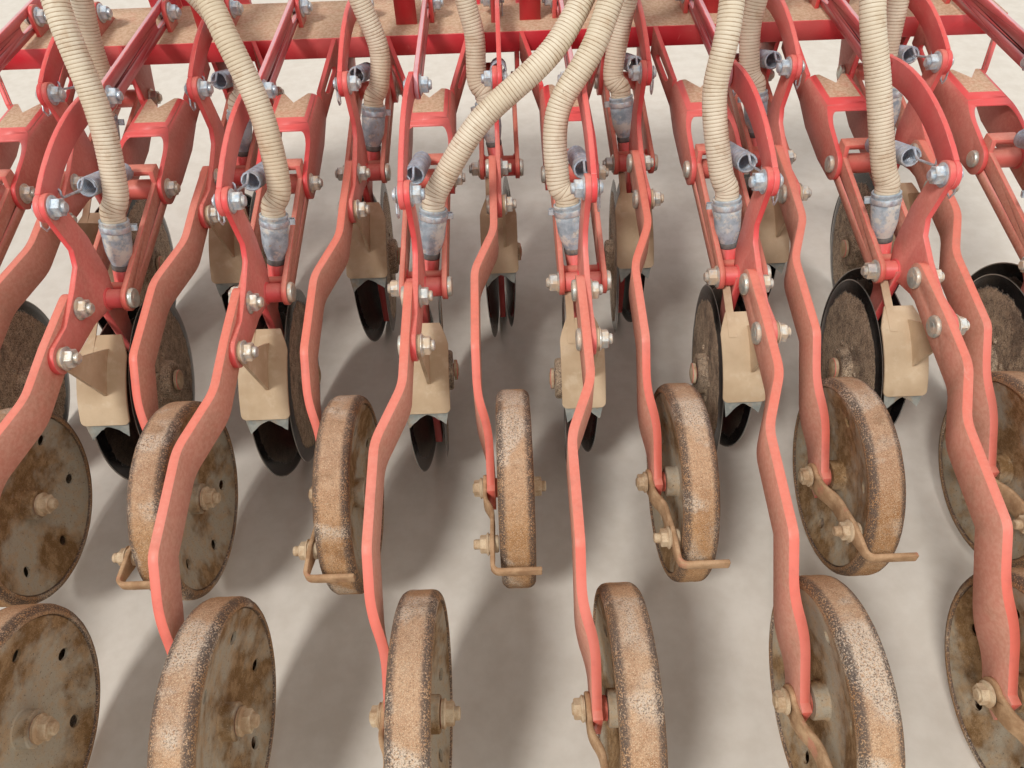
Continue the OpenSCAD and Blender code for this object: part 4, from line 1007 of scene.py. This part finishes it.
# Guards: SIDE turns a prism's outline (x, y) and height into the row's (y, z) and x
SIDE = Matrix(((0, 0, 1, 0), (1, 0, 0, 0), (0, 1, 0, 0), (0, 0, 0, 1)))
GUARD_R, GUARD_T, GUARD_FROM, GUARD_TO = 182, 4, 106, 151


def on_arc(x, a, r):
    """Point at the angle a, in degrees, round the discs' axle."""
    a = math.radians(a)
    return Vector((x, DISC_Y + r * math.cos(a), DISC_Z + r * math.sin(a)))


def guard_plate(m, full, mid_x):
    """Curved plastic plate, narrower at its top, with rounded lower corners and small round edges."""
    span = math.radians(GUARD_TO - GUARD_FROM) * GUARD_R
    corner, edge = 8, 0.6
    marks = [k / 12 for k in range(12)]
    marks += [1 - corner * (1 - math.sin(math.radians(a))) / span for a in range(0, 91, 15)]
    verts = []
    for t in sorted(marks):
        left = (1 - t) * span
        half = full * min(1.0, 0.66 + 1.5 * t)
        if left < corner:
            half -= corner - math.sqrt(max(0.0, corner ** 2 - (corner - left) ** 2))
        for x, r in (
            (-half, edge), (-half + edge, 0), (half - edge, 0), (half, edge), (half, GUARD_T - edge),
            (half - edge, GUARD_T), (-half + edge, GUARD_T), (-half, GUARD_T - edge),
        ):
            verts.append(on_arc(mid_x + x, GUARD_FROM + (GUARD_TO - GUARD_FROM) * t, GUARD_R + r))
    m.add(verts, tube_faces(len(marks), 8), GUARD)


def guard_skirt(m, row, full, mid_x):
    """Torn grey skirt under the plate, arched over the two discs."""
    rng = random.Random("skirt" + row)
    n, rows, verts = 14, 4, []
    for k in range(n + 1):
        u = -1 + 2 * k / n
        low = 1.2 + 7.5 * abs(u) ** 1.4 * (1 if u < 0 else 0.75) + 0.5 * rng.random()
        for side in (0, 1):
            for j in (range(rows) if side == 0 else reversed(range(rows))):
                t = j / (rows - 1)
                verts.append(on_arc(mid_x + u * (full - 2.5 - 6 * t), GUARD_TO - 3 + (low + 3) * t,
                                    GUARD_R - 0.6 - 1.5 * side - 2.5 * t))
    m.add(verts, tube_faces(n + 1, 2 * rows), SCRAPER)


def make_guard(row):
    """Guard behind the discs: its plate, rib, strap and skirt."""
    m = Mesh()
    full, mid_x = (38, DISC_X + 4) if hand(row) > 0 else (34, DISC_X)
    guard_plate(m, full, mid_x)
    # rib with its eye on the bolt
    eye_r, turns = 16, [math.radians(a) for a in range(-50, 181, 15)]
    eye = [(C[0] + eye_r * math.cos(a), C[1] + eye_r * math.sin(a)) for a in turns]
    foot = [on_arc(0, a, GUARD_R + 1) for a in range(GUARD_TO - 14, 112, -4)]
    m.prism(eye + [(p.y, p.z) for p in foot], RIB_X - 2.5, RIB_RIGHT, GUARD, SIDE, 0.5)
    # narrow strap from the boss down to the plate
    top = (B[0] - 8, B[1] - 14)
    low = on_arc(0, 119, GUARD_R + GUARD_T + 0.4)
    strap = [(top[0] - 2, top[1]), (low.y - 2, low.z), (low.y + 2, low.z - 1), (top[0] + 2, top[1])]
    m.prism(strap, -36, -24, GUARD, SIDE, 0.4)
    guard_skirt(m, row, full, mid_x)
    piece("disc_guard_" + row, m.data("disc_guard_" + row, 40), place(row), ROOT, ("disc_guards",))


# CAD nodes that stay
BEVEL, SHARP = 0.001, math.radians(40)
PAINTED = {
    "beam": (BEAM_RED, EDGE_WEAR_AND_HIGHLIGHT), "yokes": (RED, EDGE_WEAR_AND_HIGHLIGHT), "opener_frames": (RED_FRAME, DUSTY_EDGE_AND_HIGHLIGHT),
    "main_plates": (RED_PLATE, EDGE_WEAR_AND_HIGHLIGHT), "wheel_arms": (RED_ARM, EDGE_WEAR_AND_HIGHLIGHT), "curved_links": (RED_LINK, EDGE_WEAR_AND_HIGHLIGHT),
    "slotted_links": (RED_SLOTTED, EDGE_WEAR_AND_HIGHLIGHT), "slot_lugs": (RED, EDGE_WEAR_AND_HIGHLIGHT), "wheel_scrapers": (SOILED, SOILED),
    "hose_rail": (BEAM_RED, EDGE_WEAR_AND_HIGHLIGHT),
}


def soften(node, mat, edge):
    """Gives a CAD node its material, and small bevels of rubbed paint that carry a painted highlight."""
    o = NODES[node]
    o.data.materials.clear()
    o.data.materials.append(mat)
    o.data.materials.append(edge)
    weld = o.modifiers.new("weld", "WELD")
    weld.merge_threshold = 0.00002
    bevel = o.modifiers.new("bevel", "BEVEL")
    bevel.width = BEVEL
    bevel.segments = 1
    bevel.limit_method = "ANGLE"
    bevel.angle_limit = SHARP
    bevel.material = 1
    o.data.shade_smooth()
    o.data.set_sharp_from_angle(angle=SHARP)


for row in ROWS:
    make_hose(row)
    make_boot(row)
    make_spring(row)
    make_fasteners(row)
    make_wheel(row)
    make_discs(row)
    make_guard(row)
    make_axle_ends(row)

for node, (mat, edge) in PAINTED.items():
    soften(node, mat, edge)

# Floor, just under the discs
FLOOR_Z, REACH = -0.5245, 9
corners = [(x, y, FLOOR_Z) for x, y in ((-REACH, -REACH), (REACH, -REACH), (REACH, REACH), (-REACH, REACH))]
floor_mesh = bpy.data.meshes.new("floor")
floor_mesh.from_pydata(corners, [], [[0, 1, 2, 3]])
floor = bpy.data.objects.new("floor", floor_mesh)
bpy.context.scene.collection.objects.link(floor)
fm = Nodes("floor")
mottle = fm.mix(fm.ramp(fm.noise(30, 4), 0.3, 0.7), srgb(222, 216, 206), srgb(214, 207, 196))
floor_mesh.materials.append(fm.finish(mottle, 0.9, 0.0, 0.1))

# World: soft light on the object, white behind it
world = bpy.data.worlds.new("studio")
bpy.context.scene.world = world
world.use_nodes = True
tree = world.node_tree
tree.nodes.clear()
out = tree.nodes.new("ShaderNodeOutputWorld")
light, back = tree.nodes.new("ShaderNodeBackground"), tree.nodes.new("ShaderNodeBackground")
for node, color, strength in ((light, (1.0, 0.985, 0.96, 1), 0.55), (back, (1, 1, 1, 1), 1.0)):
    node.inputs[0].default_value = color
    node.inputs[1].default_value = strength
rays = tree.nodes.new("ShaderNodeLightPath")
seen = rays.outputs["Is Camera Ray"]
for ray in ("Is Glossy Ray", "Is Transmission Ray"):
    either = tree.nodes.new("ShaderNodeMath")
    either.operation = "MAXIMUM"
    tree.links.new(seen, either.inputs[0])
    tree.links.new(rays.outputs[ray], either.inputs[1])
    seen = either.outputs[0]
mix = tree.nodes.new("ShaderNodeMixShader")
for i, socket in enumerate((seen, light.outputs[0], back.outputs[0])):
    tree.links.new(socket, mix.inputs[i])
tree.links.new(mix.outputs[0], out.inputs[0])

# Sun lamps: strength, size and turn in degrees
for name, energy, angle, turn in (("key", 2.0, 12, (30, -26, 0)), ("fill", 0.6, 40, (15, 42, 0))):
    lamp = bpy.data.lights.new(name, "SUN")
    lamp.energy = energy
    lamp.angle = math.radians(angle)
    lamp.color = (1.0, 0.97, 0.93)
    sun = bpy.data.objects.new(name, lamp)
    sun.rotation_euler = [math.radians(a) for a in turn]
    bpy.context.scene.collection.objects.link(sun)
